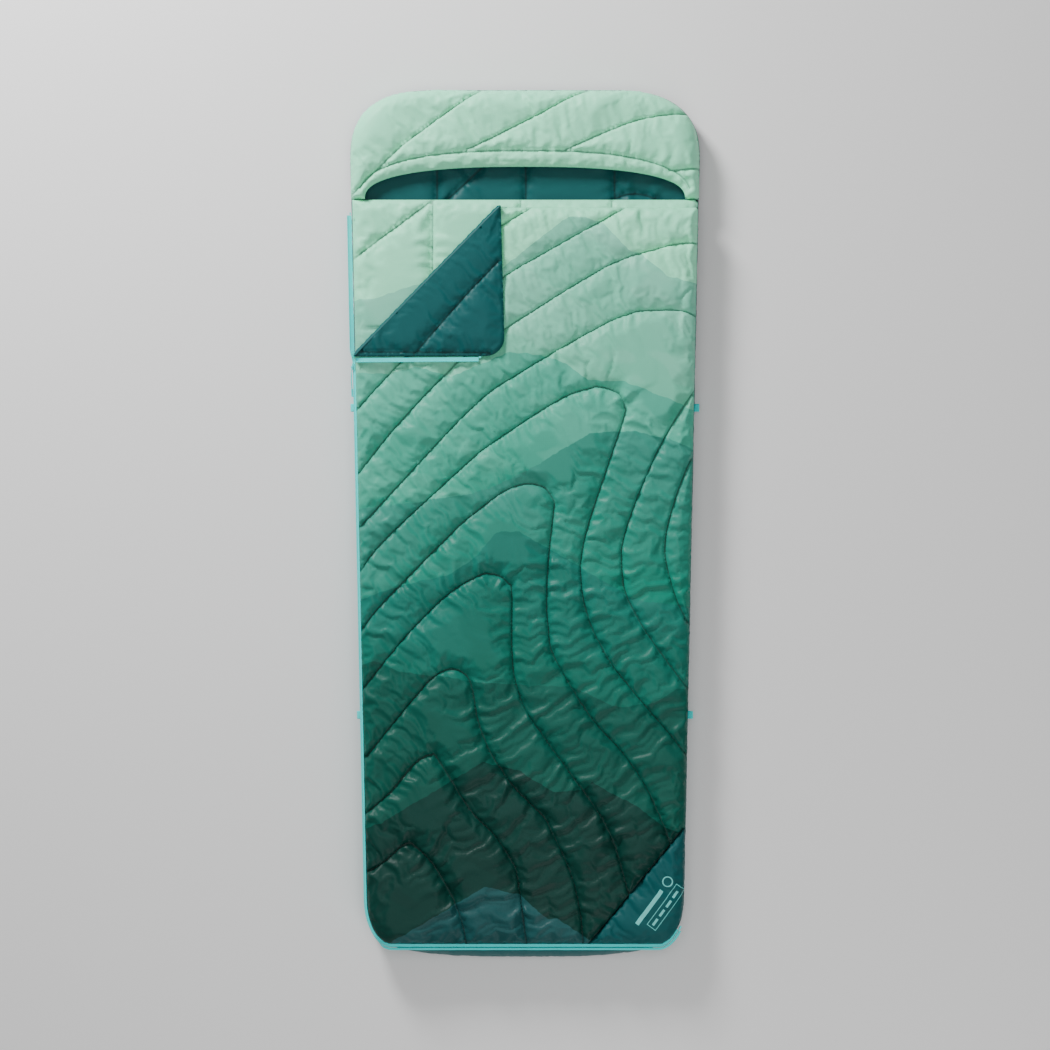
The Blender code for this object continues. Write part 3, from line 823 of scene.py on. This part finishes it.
def hood_under(x, y, seam_gap, edge_gap):
    lip, _ = nearest(mouth_tree, np.column_stack([x, y]))
    body = UNDER_HOOD_Z - UNDER_HOOD_DROP * (1 - swell_up(edge_gap, 0.04))
    return body + UNDER_HOOD_LIP * np.exp(-lip / 0.012)


hood_lining, _ = quilt("hood_lining_cloth", hood_outline(HOOD_INSET), [], 0.009, hood_under, 0.4, facing=-1)
dress(hood_lining, teal_lining, "back", "teal_lining", "hood_lining")

# ---------------------------------------------------------------- inner front
# The quilted front that is sewn in along both sides, its head edge straight across the bag.
INNER_HEAD_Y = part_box("inner_quilt_shell")[1][1]
OUTER_HEAD_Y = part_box("outer_quilt_shell")[1][1]
ZIP_CORNER, ZIP_CORNER_POWER = (0.065, 0.1145), 1.9
FRONT_INSET, FRONT_FOOT_INSET = 0.0045, 0.004
INNER_Z, INNER_EDGE_RISE, INNER_SWELL, INNER_SAG = 0.048, 0.006, 0.011, 0.007


def foot_corner_arcs(semi, last_turn, steps, last_steps):
    """The foot end's left corner, and its right corner as far as last_turn quarter turns."""
    centre_y = ZIP_FOOT_Y + ZIP_CORNER[1]
    centre_x = side_x(centre_y) - ZIP_CORNER[0]
    left = arc((-centre_x, centre_y), semi, ZIP_CORNER_POWER, 2, 3, steps)
    return left + arc((centre_x, centre_y), semi, ZIP_CORNER_POWER, 3, last_turn, last_steps)


def front_outline(head_y):
    semi = (ZIP_CORNER[0] - FRONT_INSET, ZIP_CORNER[1] - FRONT_INSET - FRONT_FOOT_INSET)
    head = side_x(head_y) - FRONT_INSET
    return [(head, head_y), (-head, head_y)] + foot_corner_arcs(semi, 4, 14, 14)


INNER_LINES = [[(x, -1.03), (x, 0.80)] for x in (-0.222, -0.011, 0.208)]
for shift in (0, 0.42, 0.84, 1.26):
    INNER_LINES.append([(-0.433, 0.624 - shift), (-0.225, 0.780 - shift)])
    INNER_LINES.append([(0.433, 0.52 - shift), (0.212, 0.36 - shift)])


def inner_form(x, y, seam_gap, edge_gap):
    channels = INNER_SWELL * swell_up(np.minimum(seam_gap, edge_gap), 0.035)
    return INNER_Z + INNER_EDGE_RISE * swell_up(edge_gap, 0.03) + channels


inner_outline = front_outline(INNER_HEAD_Y)
inner_shell, routes = quilt(
    "inner_quilt_cloth", inner_outline, INNER_LINES, 0.0072, inner_form, 1.4, frames=8, cap=0.004, swell=0.03
)
dress(inner_shell, printed_shell, "back", "printed_shell", "inner_quilt_shell", "inner_quilt_insulation")
stitch_rows("inner_quilt_stitches", inner_shell, routes, mint_thread, "back")


def inner_under(x, y, seam_gap, edge_gap):
    return INNER_Z - INNER_SAG * swell_up(edge_gap, 0.03)


inner_lining, _ = quilt("inner_quilt_lining_cloth", inner_outline, [], 0.010, inner_under, 0.4, facing=-1)
dress(inner_lining, teal_lining, "back", "teal_lining", "inner_quilt_lining")

# ---------------------------------------------------------------- outer front
# The printed front that zips over the inner one. Its quilting runs in nested arches, like
# height lines on a map, and its head corner on the zip side is turned back over it.
FOLD_HEAD_X, FOLD_SLOPE = -0.058, 1.028
fold_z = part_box("outer_quilt_shell")[1][2] + 0.00025
fold_along = Vector((-1, -FOLD_SLOPE)).normalized()
fold_out = Vector((fold_along.y, -fold_along.x))
fold_head = Vector((FOLD_HEAD_X, OUTER_HEAD_Y))
run = (side_x(OUTER_HEAD_Y) - FRONT_INSET + FOLD_HEAD_X) / (1 + FOLD_SLOPE * SIDE_TAPER)
fold_foot = fold_head + Vector((-run, -run * FOLD_SLOPE))


def turn_over(spot):
    """Where a plan point lands when the corner is turned back over the fold line."""
    offset = Vector(spot) - fold_head
    return tuple(fold_head + 2 * offset.dot(fold_along) * fold_along - offset)


PATCH_LINE = [(0.152, -1.0045), (0.250, -0.886), (0.379, -0.728)]
OUTER_LINES = [
    [(-0.158, 0.655), (0.047, 0.780)],
    [(-0.421, 0.256), (-0.306, 0.381), (-0.181, 0.496), (-0.057, 0.590), (0.035, 0.645), (0.275, 0.780)],
    [(-0.421, 0.095), (-0.307, 0.238), (-0.191, 0.360), (-0.109, 0.429), (0.183, 0.612), (0.323, 0.663),
     (0.385, 0.675), (0.43, 0.674)],
    [(-0.421, -0.032), (-0.139, 0.269), (-0.016, 0.362), (0.179, 0.475), (0.247, 0.504), (0.287, 0.513),
     (0.371, 0.513), (0.407, 0.501), (0.43, 0.480)],
    [(-0.421, -0.152), (-0.384, -0.096), (-0.329, -0.029), (-0.139, 0.147), (-0.078, 0.196), (0.077, 0.297),
     (0.153, 0.326), (0.181, 0.330), (0.221, 0.317), (0.233, 0.301), (0.238, 0.285), (0.234, 0.248),
     (0.159, 0.024), (0.138, -0.063), (0.134, -0.124), (0.147, -0.204), (0.180, -0.286), (0.232, -0.366),
     (0.352, -0.508), (0.412, -0.589)],
    [(-0.421, -0.297), (-0.344, -0.191), (-0.169, -0.014), (-0.095, 0.048), (-0.048, 0.081), (0.000, 0.097),
     (0.040, 0.092), (0.058, 0.076), (0.068, 0.058), (0.069, 0.039), (0.055, -0.093), (0.052, -0.185),
     (0.056, -0.247), (0.070, -0.314), (0.150, -0.450), (0.230, -0.542), (0.285, -0.621), (0.330, -0.715),
     (0.347, -0.762)],
    [(-0.421, -0.436), (-0.292, -0.274), (-0.185, -0.167), (-0.108, -0.121), (-0.084, -0.118),
     (-0.059, -0.124), (-0.041, -0.139), (-0.032, -0.161), (-0.031, -0.300), (-0.024, -0.368),
     (0.000, -0.440),
     (0.045, -0.508), (0.110, -0.598), (0.183, -0.701), (0.217, -0.775), (0.247, -0.880)],
    [(-0.421, -0.604), (-0.253, -0.400), (-0.224, -0.369), (-0.197, -0.351), (-0.170, -0.346),
     (-0.149, -0.355), (-0.135, -0.370), (-0.126, -0.395), (-0.112, -0.468), (-0.084, -0.542),
     (-0.033, -0.620), (0.036, -0.692), (0.060, -0.728), (0.106, -0.827), (0.129, -0.912), (0.141, -1.020)],
    [(-0.421, -0.726), (-0.330, -0.646), (-0.268, -0.575), (-0.240, -0.555), (-0.225, -0.552),
     (-0.210, -0.559), (-0.133, -0.680), (-0.072, -0.746), (-0.031, -0.808), (-0.018, -0.848),
     (0.006, -1.020)],
    [(-0.415, -0.850), (-0.347, -0.813), (-0.298, -0.771), (-0.282, -0.763), (-0.270, -0.765),
     (-0.224, -0.808), (-0.184, -0.873), (-0.154, -0.943), (-0.138, -1.020)],
    [(0.436, 0.370), (0.337, 0.214), (0.291, 0.119), (0.251, 0.015), (0.234, -0.047), (0.232, -0.078),
     (0.239, -0.152), (0.272, -0.225), (0.315, -0.292), (0.415, -0.426)],
    [(0.430, 0.211), (0.383, 0.125), (0.345, 0.009), (0.336, -0.063), (0.347, -0.124), (0.370, -0.195),
     (0.420, -0.287)],
    PATCH_LINE,
]
EDGE_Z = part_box("outer_quilt_lining")[0][2] + 0.001
FOLD_RISE = 0.013
OUTER_EDGE_RISE, OUTER_SWELL = 0.007, 0.0175
CREST_UNDER, FLAP_CLEAR, PRESSED_CLEAR, FLAP_BLEND = 0.0035, 0.0045, 0.003, 0.016
outline = front_outline(OUTER_HEAD_Y)
outer_outline = [outline[0], (FOLD_HEAD_X, OUTER_HEAD_Y), tuple(fold_foot)] + outline[2:]
flap_plan = np.array([turn_over(p) for p in (fold_head, outline[1], fold_foot)])
fold_line_tree = tree_of(np.array([tuple(fold_head + (fold_foot - fold_head) * i / 200) for i in range(201)]))


def under_flap(x, y):
    """1 where the turned-back corner lies on the front, 0 well clear of it."""
    spots = np.column_stack([x, y])
    gap, _ = nearest(tree_of(even_outline(flap_plan, 0.006)), spots)
    return np.clip(0.5 + np.where(inside(spots, flap_plan), gap, -gap) / FLAP_BLEND, 0, 1)


def to_fold(x, y):
    """Distance from the fold line."""
    return nearest(fold_line_tree, np.column_stack([x, y]))[0]


def outer_form(x, y, seam_gap, edge_gap):
    body = EDGE_Z + OUTER_EDGE_RISE * swell_up(edge_gap, 0.035)
    full = body + OUTER_SWELL * swell_up(np.minimum(seam_gap, edge_gap), 0.036)
    full = full + (fold_z - CREST_UNDER - full) * np.exp(-((to_fold(x, y) / 0.010) ** 2))
    return full - under_flap(x, y) * np.clip(full - (fold_z - FLAP_CLEAR), 0, 1)


outer_shell, routes = quilt(
    "outer_quilt_cloth", outer_outline, OUTER_LINES, 0.0050, outer_form, 1.5,
    frames=16, cap=0.007, swell=0.040,
)
outer_points = points_of(outer_shell.data)
pressed = under_flap(outer_points[:, 0], outer_points[:, 1])
outer_points[:, 2] -= pressed * np.clip(outer_points[:, 2] - (fold_z - PRESSED_CLEAR), 0, 1)
move_points(outer_shell, outer_points)
dress(
    outer_shell, printed_shell, "outer_quilt", "printed_shell",
    "outer_quilt_shell", "outer_quilt_insulation",
)
stitch_rows("outer_quilt_stitches", outer_shell, routes, green_thread, "outer_quilt")


def outer_under(x, y, seam_gap, edge_gap):
    rise = FOLD_RISE * np.exp(-((to_fold(x, y) / 0.022) ** 2))
    seams = 0.0008 * (1 - swell_up(seam_gap, 0.02))
    low = EDGE_Z + rise - 0.0012 * swell_up(edge_gap, 0.02) + seams
    return np.minimum(low, outer_form(x, y, seam_gap, edge_gap))


outer_lining, _ = quilt(
    "outer_quilt_lining_cloth", outer_outline, OUTER_LINES[:-1], 0.0085, outer_under, 0.15, facing=-1
)
dress(outer_lining, teal_lining, "outer_quilt", "teal_lining", "outer_quilt_lining")

# ---------------------------------------------------------------- corner patch
# A woven triangle stitched over the foot corner, with a plain frame and bars printed on it.
# It is cut from the swollen surface of the front, so it lies on it like the real one.
PATCH_CORNER = [(0.45, -0.728), (0.45, -1.10), (0.152, -1.10)]
PATCH_LIFT, PATCH_THICK = 0.0007, 0.0005
PATCH_TEAL, PATCH_MARK = srgb(0, 84, 86), srgb(112, 214, 208)
corners = np.array([tuple(p.vertices) for p in outer_shell.data.polygons])
patch_area = np.vstack([smooth_route(PATCH_LINE, 0.005), PATCH_CORNER])
beyond = inside(outer_points[corners].mean(axis=1), patch_area)
patch_points, patch_faces = keep_faces(outer_points, corners, beyond)
patch = new_mesh_piece("corner_patch_cloth", patch_points + np.array([0, 0, PATCH_LIFT]), patch_faces)
mark_cut(patch, patch_points[:, :2], np.ones(len(patch_points)))

patch_cloth, tree, shader = principled("patch_cloth", PATCH_TEAL, 0.55)
place, x, y = flat_place(tree)
PATCH_MIDDLE, PATCH_TURN = (0.318, -0.905), 0.93
cos_turn, sin_turn = cos(PATCH_TURN), sin(PATCH_TURN)
from_x = sums(tree, "SUBTRACT", x, PATCH_MIDDLE[0])
from_y = sums(tree, "SUBTRACT", y, PATCH_MIDDLE[1])
u = sums(tree, "ADD", sums(tree, "MULTIPLY", from_x, cos_turn), sums(tree, "MULTIPLY", from_y, sin_turn))
v = sums(tree, "SUBTRACT", sums(tree, "MULTIPLY", from_y, cos_turn), sums(tree, "MULTIPLY", from_x, sin_turn))


def bar(left, right, low, high):
    """1 inside a rectangle on the patch."""
    sides = sums(tree, "MULTIPLY", sums(tree, "GREATER_THAN", u, left), sums(tree, "LESS_THAN", u, right))
    ends = sums(tree, "MULTIPLY", sums(tree, "GREATER_THAN", v, low), sums(tree, "LESS_THAN", v, high))
    return sums(tree, "MULTIPLY", sides, ends)


FRAME, FRAME_LINE = (-0.056, 0.064, -0.034, -0.008), 0.0015
DASH, DASH_PITCH, DASH_ROWS = 0.019, 0.027, (-0.024, -0.018)
RING_MIDDLE, RING_R = (0.055, 0.012), 0.0115
mark = bar(-0.070, 0.030, 0.006, 0.016)
left, right, low, high = FRAME
hole = bar(left + FRAME_LINE, right - FRAME_LINE, low + FRAME_LINE, high - FRAME_LINE)
mark = sums(tree, "MAXIMUM", mark, sums(tree, "SUBTRACT", bar(*FRAME), hole))
for k in range(4):
    dash_start = -0.049 + DASH_PITCH * k
    mark = sums(tree, "MAXIMUM", mark, bar(dash_start, dash_start + DASH, *DASH_ROWS))
from_ring = {0: sums(tree, "SUBTRACT", u, RING_MIDDLE[0]), 1: sums(tree, "SUBTRACT", v, RING_MIDDLE[1])}
offset = wire(tree, "ShaderNodeCombineXYZ", from_ring)
reach = wire(tree, "ShaderNodeVectorMath", {0: offset}, out="Value", operation="LENGTH")
off_ring = sums(tree, "ABSOLUTE", sums(tree, "SUBTRACT", reach, RING_R))
mark = sums(tree, "MAXIMUM", mark, sums(tree, "LESS_THAN", off_ring, 0.0015))
ripstop(tree, shader, place, x, y, blend_color(tree, mark, PATCH_TEAL, PATCH_MARK), 0.0005)
thick = patch.modifiers.new("thickness", "SOLIDIFY")
thick.thickness = PATCH_THICK
thick.offset = -1
dress(patch, patch_cloth, "outer_quilt", "patch_teal", "corner_patch")
patch_cut = [p for p in outer_outline if inside(np.array([p]), patch_area)[0]]

# ---------------------------------------------------------------- turned-back corner
# The outer front's head corner, lying printed side down with its lining up. The lining
# rolls round the fold line from under the front.
FLAP_LOW, FLAP_EDGE = fold_z + 0.0012, fold_z + 0.0055
FLAP_CREASE, FLAP_SWELL, FLAP_ROUND = 0.0035, 0.0085, 0.045
corner = outline[1]
rounded = arc((corner[0] + FLAP_ROUND, corner[1] - FLAP_ROUND), (FLAP_ROUND, FLAP_ROUND), 2, 1, 2, 8)
flap_outline = [turn_over(p) for p in [tuple(fold_head), *rounded, tuple(fold_foot)]]
FLAP_LINES = [
    [(-0.0625, 0.632), (-0.150, 0.540), (-0.265, 0.408)],
    [(-0.395, 0.4135), (-0.085, 0.4120)],
]


def sewn_gap(crease, seam_gap, edge_gap):
    """Distance to the nearest stitching: the fold line is an edge with no stitches."""
    return np.minimum(np.where(crease < edge_gap + 0.001, 1.0, edge_gap), seam_gap)


def flap_form(x, y, seam_gap, edge_gap):
    crease = to_fold(x, y)
    swell = FLAP_SWELL * swell_up(sewn_gap(crease, seam_gap, edge_gap), 0.045)
    return FLAP_EDGE + FLAP_CREASE * np.exp(-crease / 0.03) + swell * np.clip(0.6 + crease / 0.2, 0, 1)


flap_lining, routes = quilt(
    "flap_lining_cloth", flap_outline, FLAP_LINES, 0.0050, flap_form, 0.9, frames=10, cap=0.003, swell=0.012
)
dress(flap_lining, teal_lining, "corner_flap", "teal_lining", "flap_lining", "flap_insulation")
stitch_rows("flap_stitches", flap_lining, routes, green_thread, "corner_flap")


def flap_under(x, y, seam_gap, edge_gap):
    gap = sewn_gap(to_fold(x, y), seam_gap, edge_gap)
    return FLAP_EDGE - (FLAP_EDGE - FLAP_LOW) * swell_up(gap, 0.03)


middle = np.mean(flap_outline, axis=0)
tucked_in = [tuple(middle + (np.array(p) - middle) * 0.994) for p in flap_outline]
shell_outline = [flap_outline[0]] + tucked_in[1:-1] + [flap_outline[-1]]
flap_shell, routes = quilt(
    "flap_shell_cloth", shell_outline, FLAP_LINES[:1], 0.006, flap_under, -0.25, facing=-1
)
layer = flap_shell.data.uv_layers["cut"]
uv = np.empty(len(layer.data) * 2)
layer.data.foreach_get("uv", uv)
uv = np.array([turn_over(p) for p in uv.reshape(-1, 2)])
layer.data.foreach_set("uv", uv.ravel().astype(np.float32))
dress(flap_shell, printed_shell, "corner_flap", "printed_shell", "flap_shell")
stitch_rows("flap_shell_stitches", flap_shell, routes, mint_thread, "corner_flap", side=-1)


def face_outward(piece):
    mesh = bmesh.new()
    mesh.from_mesh(piece.data)
    bmesh.ops.recalc_face_normals(mesh, faces=mesh.faces)
    mesh.to_mesh(piece.data)
    mesh.free()


ROLL_LOW = EDGE_Z + FOLD_RISE - 0.0005
ROLL_TOP = FLAP_EDGE + FLAP_CREASE + 0.0052
roll_middle, roll_radius = (ROLL_LOW + ROLL_TOP) / 2, (ROLL_TOP - ROLL_LOW) / 2
ROLL_ACROSS = 14
ROLL_OUT, ROLL_BULGE = 0.0035, 0.0045
length = (fold_foot - fold_head).length
steps = int(length / 0.005)
row = ROLL_ACROSS + 1
points, faces = [], []
for i in range(steps + 1):
    t = i / steps
    spot = fold_head + (fold_foot - fold_head) * t
    bulge = ROLL_BULGE * swell_up(min(t, 1 - t) * length, 0.030)
    ripple = 0.0006 * sin(i * 1.9) + 0.0005 * sin(i * 0.73)
    for k in range(row):
        angle = -pi / 2 + pi * k / ROLL_ACROSS
        plan = spot + fold_out * cos(angle) * (ROLL_OUT + bulge + ripple * cos(angle))
        points.append((plan.x, plan.y, roll_middle + roll_radius * sin(angle)))
for i in range(steps):
    for k in range(ROLL_ACROSS):
        faces.append((i * row + k, i * row + k + 1, (i + 1) * row + k + 1, (i + 1) * row + k))
faces.append(tuple(range(row)))
faces.append(tuple(range(steps * row, len(points))))
fold_roll = new_mesh_piece("fold_roll", points, faces)
face_outward(fold_roll)
mark_cut(fold_roll, points_of(fold_roll.data)[:, :2], np.ones(len(points)))
fold_roll.data.materials.append(teal_lining)
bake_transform(fold_roll)

# ---------------------------------------------------------------- zip
# Bright cyan coil zip: a spiral of nylon sewn to each woven tape. It is open above the
# slider, where the back's tape splays out and the other tape goes with the turned corner.
SLIDER_Y = (slider_low[1] + slider_high[1]) / 2
ZIP_HEAD_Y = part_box("zip_coil_back")[1][1]
ZIP_STEP = 0.006
TAPE_HALF, TAPE_WIDTH, TAPE_WAVE = 0.00028, 0.009, 0.0004
COIL_R, COIL_WIRE, COIL_PITCH = 0.0015, 0.00048, 0.0019
COIL_STEPS, COIL_SIDES = 8, 4
FOOT_TURN, OPENING = (-0.372, -0.335), (0.004, 0.045)


def straight_route(knots):
    """Evenly spaced points along straight pieces."""
    p = np.array(knots, float)
    run = length_along(p)
    return at_lengths(p, run, np.linspace(0, run[-1], int(run[-1] / ZIP_STEP) + 1))


def zip_route(start_y):
    return straight_route([(-side_x(start_y), start_y)] + foot_corner_arcs(ZIP_CORNER, 3.55, 24, 12))


def directions(line):
    along = np.gradient(line, axis=0)
    return along / np.linalg.norm(along, axis=1)[:, None]


def outward(route):
    along = directions(route)
    return np.column_stack([along[:, 1], -along[:, 0]])


def ease(value, low, high):
    t = np.clip((value - low) / (high - low), 0, 1)
    return t * t * (3 - 2 * t)


def lay_rows(route, closed_base, closed_coil, foot_base, foot_coil, open_base=None, open_coil=None):
    """Base line and coil line of one zip row: (out, up) by side, foot and open stretch."""
    foot = ease(route[:, 0], *FOOT_TURN)[:, None]
    free = ease(route[:, 1], SLIDER_Y + OPENING[0], SLIDER_Y + OPENING[1])[:, None]
    lines = []
    for closed, at_foot, opened in ((closed_base, foot_base, open_base), (closed_coil, foot_coil, open_coil)):
        place = np.array(closed) * (1 - foot) + np.array(at_foot) * foot
        if opened is not None:
            place = place * (1 - free) + np.array(opened) * free
        lines.append(np.column_stack([route + outward(route) * place[:, :1], place[:, 1]]))
    return lines


def tape(name, base, edge, body, node):
    """A woven strip between two lines, with a little thickness."""
    n = len(base)
    wave = wobble(np.arange(n) * 0.55, 3.0)[:, None] * TAPE_WAVE
    lean = base - edge
    lean /= np.linalg.norm(lean, axis=1)[:, None]
    face = np.cross(np.gradient(base, axis=0), lean)
    face /= np.linalg.norm(face, axis=1)[:, None]
    half = face * TAPE_HALF
    points = np.concatenate([base + half + face * wave, edge + half, edge - half, base - half + face * wave])
    faces = []
    for i in range(n - 1):
        for k in range(4):
            w = (k + 1) % 4
            faces.append((k * n + i, k * n + i + 1, w * n + i + 1, w * n + i))
    faces += [(0, n, 2 * n, 3 * n), (n - 1, 4 * n - 1, 3 * n - 1, 2 * n - 1)]
    piece = new_mesh_piece(name, points, faces, smooth=False)
    face_outward(piece)
    across = np.repeat([0.0, TAPE_WIDTH, TAPE_WIDTH, 0.0], n)
    mark_cut(piece, np.column_stack([np.tile(np.arange(n) * ZIP_STEP, 4), across]))
    dress(piece, zip_tape, body, "zip_tape", node)


def coil(name, line, body, node):
    """The nylon spiral: one turn of wire for each pitch along its line."""
    run = length_along(line)
    turns = int(run[-1] / COIL_PITCH)
    at = np.linspace(0, turns * COIL_PITCH, turns * COIL_STEPS + 1)
    centre = at_lengths(line, run, at)
    along = directions(centre)
    side = np.cross(along, (0, 0, 1.0))
    side /= np.linalg.norm(side, axis=1)[:, None]
    up = np.cross(side, along)
    angle = at / COIL_PITCH * 2 * pi
    ray = side * np.cos(angle)[:, None] + up * np.sin(angle)[:, None]
    wire_line = centre + ray * (COIL_R - COIL_WIRE)
    turn = [2 * pi * k / COIL_SIDES for k in range(COIL_SIDES)]
    points = np.concatenate([wire_line + COIL_WIRE * (ray * cos(a) + along * sin(a)) for a in turn])
    n = len(at)
    faces = []
    for k in range(COIL_SIDES):
        w = (k + 1) % COIL_SIDES
        faces += [(k * n + i, w * n + i, w * n + i + 1, k * n + i + 1) for i in range(n - 1)]
    faces.append(tuple(k * n for k in range(COIL_SIDES)))
    faces.append(tuple(k * n + n - 1 for k in range(COIL_SIDES))[::-1])
    piece = new_mesh_piece(name, points, faces)
    face_outward(piece)
    dress(piece, zip_nylon, body, "zip_coil", node)


zip_tape, tree, shader = principled("zip_tape_weave", CYAN, 0.62)
_, run_along, run_across = flat_place(tree)
rib = sums(tree, "PINGPONG", sums(tree, "MULTIPLY", sums(tree, "ADD", run_along, run_across), 900), 0.5)
relief(tree, shader, rib, 0.0002, 0.5)
tint(tree, shader, rib, srgb(12, 240, 238), srgb(34, 254, 252))

zip_nylon, tree, shader = principled("zip_nylon", CYAN, 0.35)
cloudy = noise(tree, object_place(tree), 300)
tint(tree, shader, cloudy, srgb(14, 240, 238), srgb(38, 254, 252))

base, edge = lay_rows(
    zip_route(ZIP_HEAD_Y),
    (-0.0050, 0.0485), (0.0006, 0.0630),
    (0.0062, 0.0645), (0.0014, 0.0668),
    (-0.0020, 0.0500), (0.0078, 0.0534),
)
tape("zip_tape_back_cloth", base, edge, "back", "zip_tape_back")
coil("zip_coil_back_spiral", edge, "back", "zip_coil_back")
base, edge = lay_rows(
    zip_route(fold_foot.y - 0.004), (-0.0055, 0.0690), (-0.0008, 0.0668), (-0.0088, 0.0682), (-0.0014, 0.0668)
)
tape("zip_tape_outer_cloth", base, edge, "outer_quilt", "zip_tape_outer")
coil("zip_coil_outer_spiral", edge, "outer_quilt", "zip_coil_outer")
loose = straight_route([(-side_x(y), y) for y in (fold_foot.y + 0.003, OUTER_HEAD_Y - 0.063)])
flap_route = np.array([turn_over(p) for p in loose])
out = outward(flap_route)
base = np.column_stack([flap_route - out * 0.0010, np.full(len(out), FLAP_EDGE + 0.0012)])
edge = np.column_stack([flap_route + out * 0.0088, np.full(len(out), FLAP_EDGE + 0.0008)])
tape("zip_tape_flap_cloth", base, edge, "corner_flap", "zip_tape_flap")
coil("zip_coil_flap_spiral", edge + np.array([0, 0, 0.0016]), "corner_flap", "zip_coil_flap")

# ---------------------------------------------------------------- slider, ring, stops and end box
# Die-cast slider with its ring, the two small stops and the end box, all in cyan enamel.
enamel, tree, shader = principled("cyan_enamel", srgb(104, 226, 224), 0.28, 0.35)
shader.inputs["Coat Weight"].default_value = 0.4
speckle = noise(tree, object_place(tree), 700, 4)
relief(tree, shader, speckle, 0.0001)
tint(tree, shader, speckle, srgb(16, 224, 222), srgb(36, 248, 246))
for name in ("slider_body", "pull_tab", "zip_stop_back", "zip_stop_flap", "zip_end_box"):
    dress_solid(name, enamel)

# ---------------------------------------------------------------- side loops
# Short lengths of webbing folded in two and sewn into the side seams, for a strap or a tie.
webbing, tree, shader = principled("cyan_webbing", CYAN, 0.65)
_, run_along, run_across = flat_place(tree)
rib = sums(tree, "PINGPONG", sums(tree, "MULTIPLY", run_across, 700), 0.5)
cross = sums(tree, "PINGPONG", sums(tree, "MULTIPLY", run_along, 900), 0.5)
weave = sums(tree, "ADD", rib, sums(tree, "MULTIPLY", cross, 0.5))
relief(tree, shader, weave, 0.0003)
tint(tree, shader, weave, srgb(12, 232, 230), srgb(32, 252, 250))
WEBBING_WALL, WEBBING_WIDTH, WEBBING_ROWS = 0.0012, 0.0186, 9
SEWN_IN = 0.002
STRAIGHT_SHARE = 0.62
MARK_STEP, CURVED_IN = 0.0018, 0.02


def folded_strip(reach, half_height):
    """Side view of the folded webbing: out along the top, round the end and back below."""
    straight, bow = reach * STRAIGHT_SHARE, reach * (1 - STRAIGHT_SHARE)
    top = [(straight * i / 5, half_height * (0.85 + 0.15 * i / 5)) for i in range(5)]
    angles = [pi / 2 - pi * i / 8 for i in range(9)]
    end = [(straight + bow * cos(a), half_height * sin(a)) for a in angles]
    return top + end + [(o, -h) for o, h in top[::-1]]


for side, sign in (("left", -1), ("right", 1)):
    for end in ("head", "foot"):
        node = "side_loop_" + side + "_" + end
        low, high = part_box(node)
        middle_y, middle_z = (low[1] + high[1]) / 2, (low[2] + high[2]) / 2
        reach = max(abs(low[0]), abs(high[0])) - (side_x(middle_y) - SEWN_IN)
        strip = folded_strip(reach, (high[2] - low[2]) / 2)
        count, rows = len(strip), WEBBING_ROWS
        points, faces, marks = [], [], []
        for depth in (0.0, WEBBING_WALL):
            for index, (o, h) in enumerate(strip):
                along = Vector(strip[min(index + 1, count - 1)]) - Vector(strip[max(index - 1, 0)])
                inner = Vector((along.y, -along.x)).normalized() * depth
                for k in range(rows):
                    w = (k / (rows - 1) - 0.5) * WEBBING_WIDTH
                    out = o + inner.x - abs(w) * CURVED_IN
                    y = middle_y + w
                    points.append((sign * (side_x(y) - SEWN_IN + out), y, middle_z + h + inner.y))
                    marks.append((index * MARK_STEP, w))
        shift = count * rows
        for i in range(count - 1):
            for k in range(rows - 1):
                a = i * rows + k
                faces.append((a, a + 1, a + rows + 1, a + rows))
        faces += [tuple(v + shift for v in face) for face in faces]
        for i in range(count - 1):
            for k in (0, rows - 1):
                a = i * rows + k
                faces.append((a, a + rows, a + rows + shift, a + shift))
        for i in (0, count - 1):
            for k in range(rows - 1):
                a = i * rows + k
                faces.append((a, a + 1, a + 1 + shift, a + shift))
        loop_piece = new_mesh_piece(node + "_webbing", points, faces)
        face_outward(loop_piece)
        mark_cut(loop_piece, marks)
        dress(loop_piece, webbing, "back", "webbing", node)
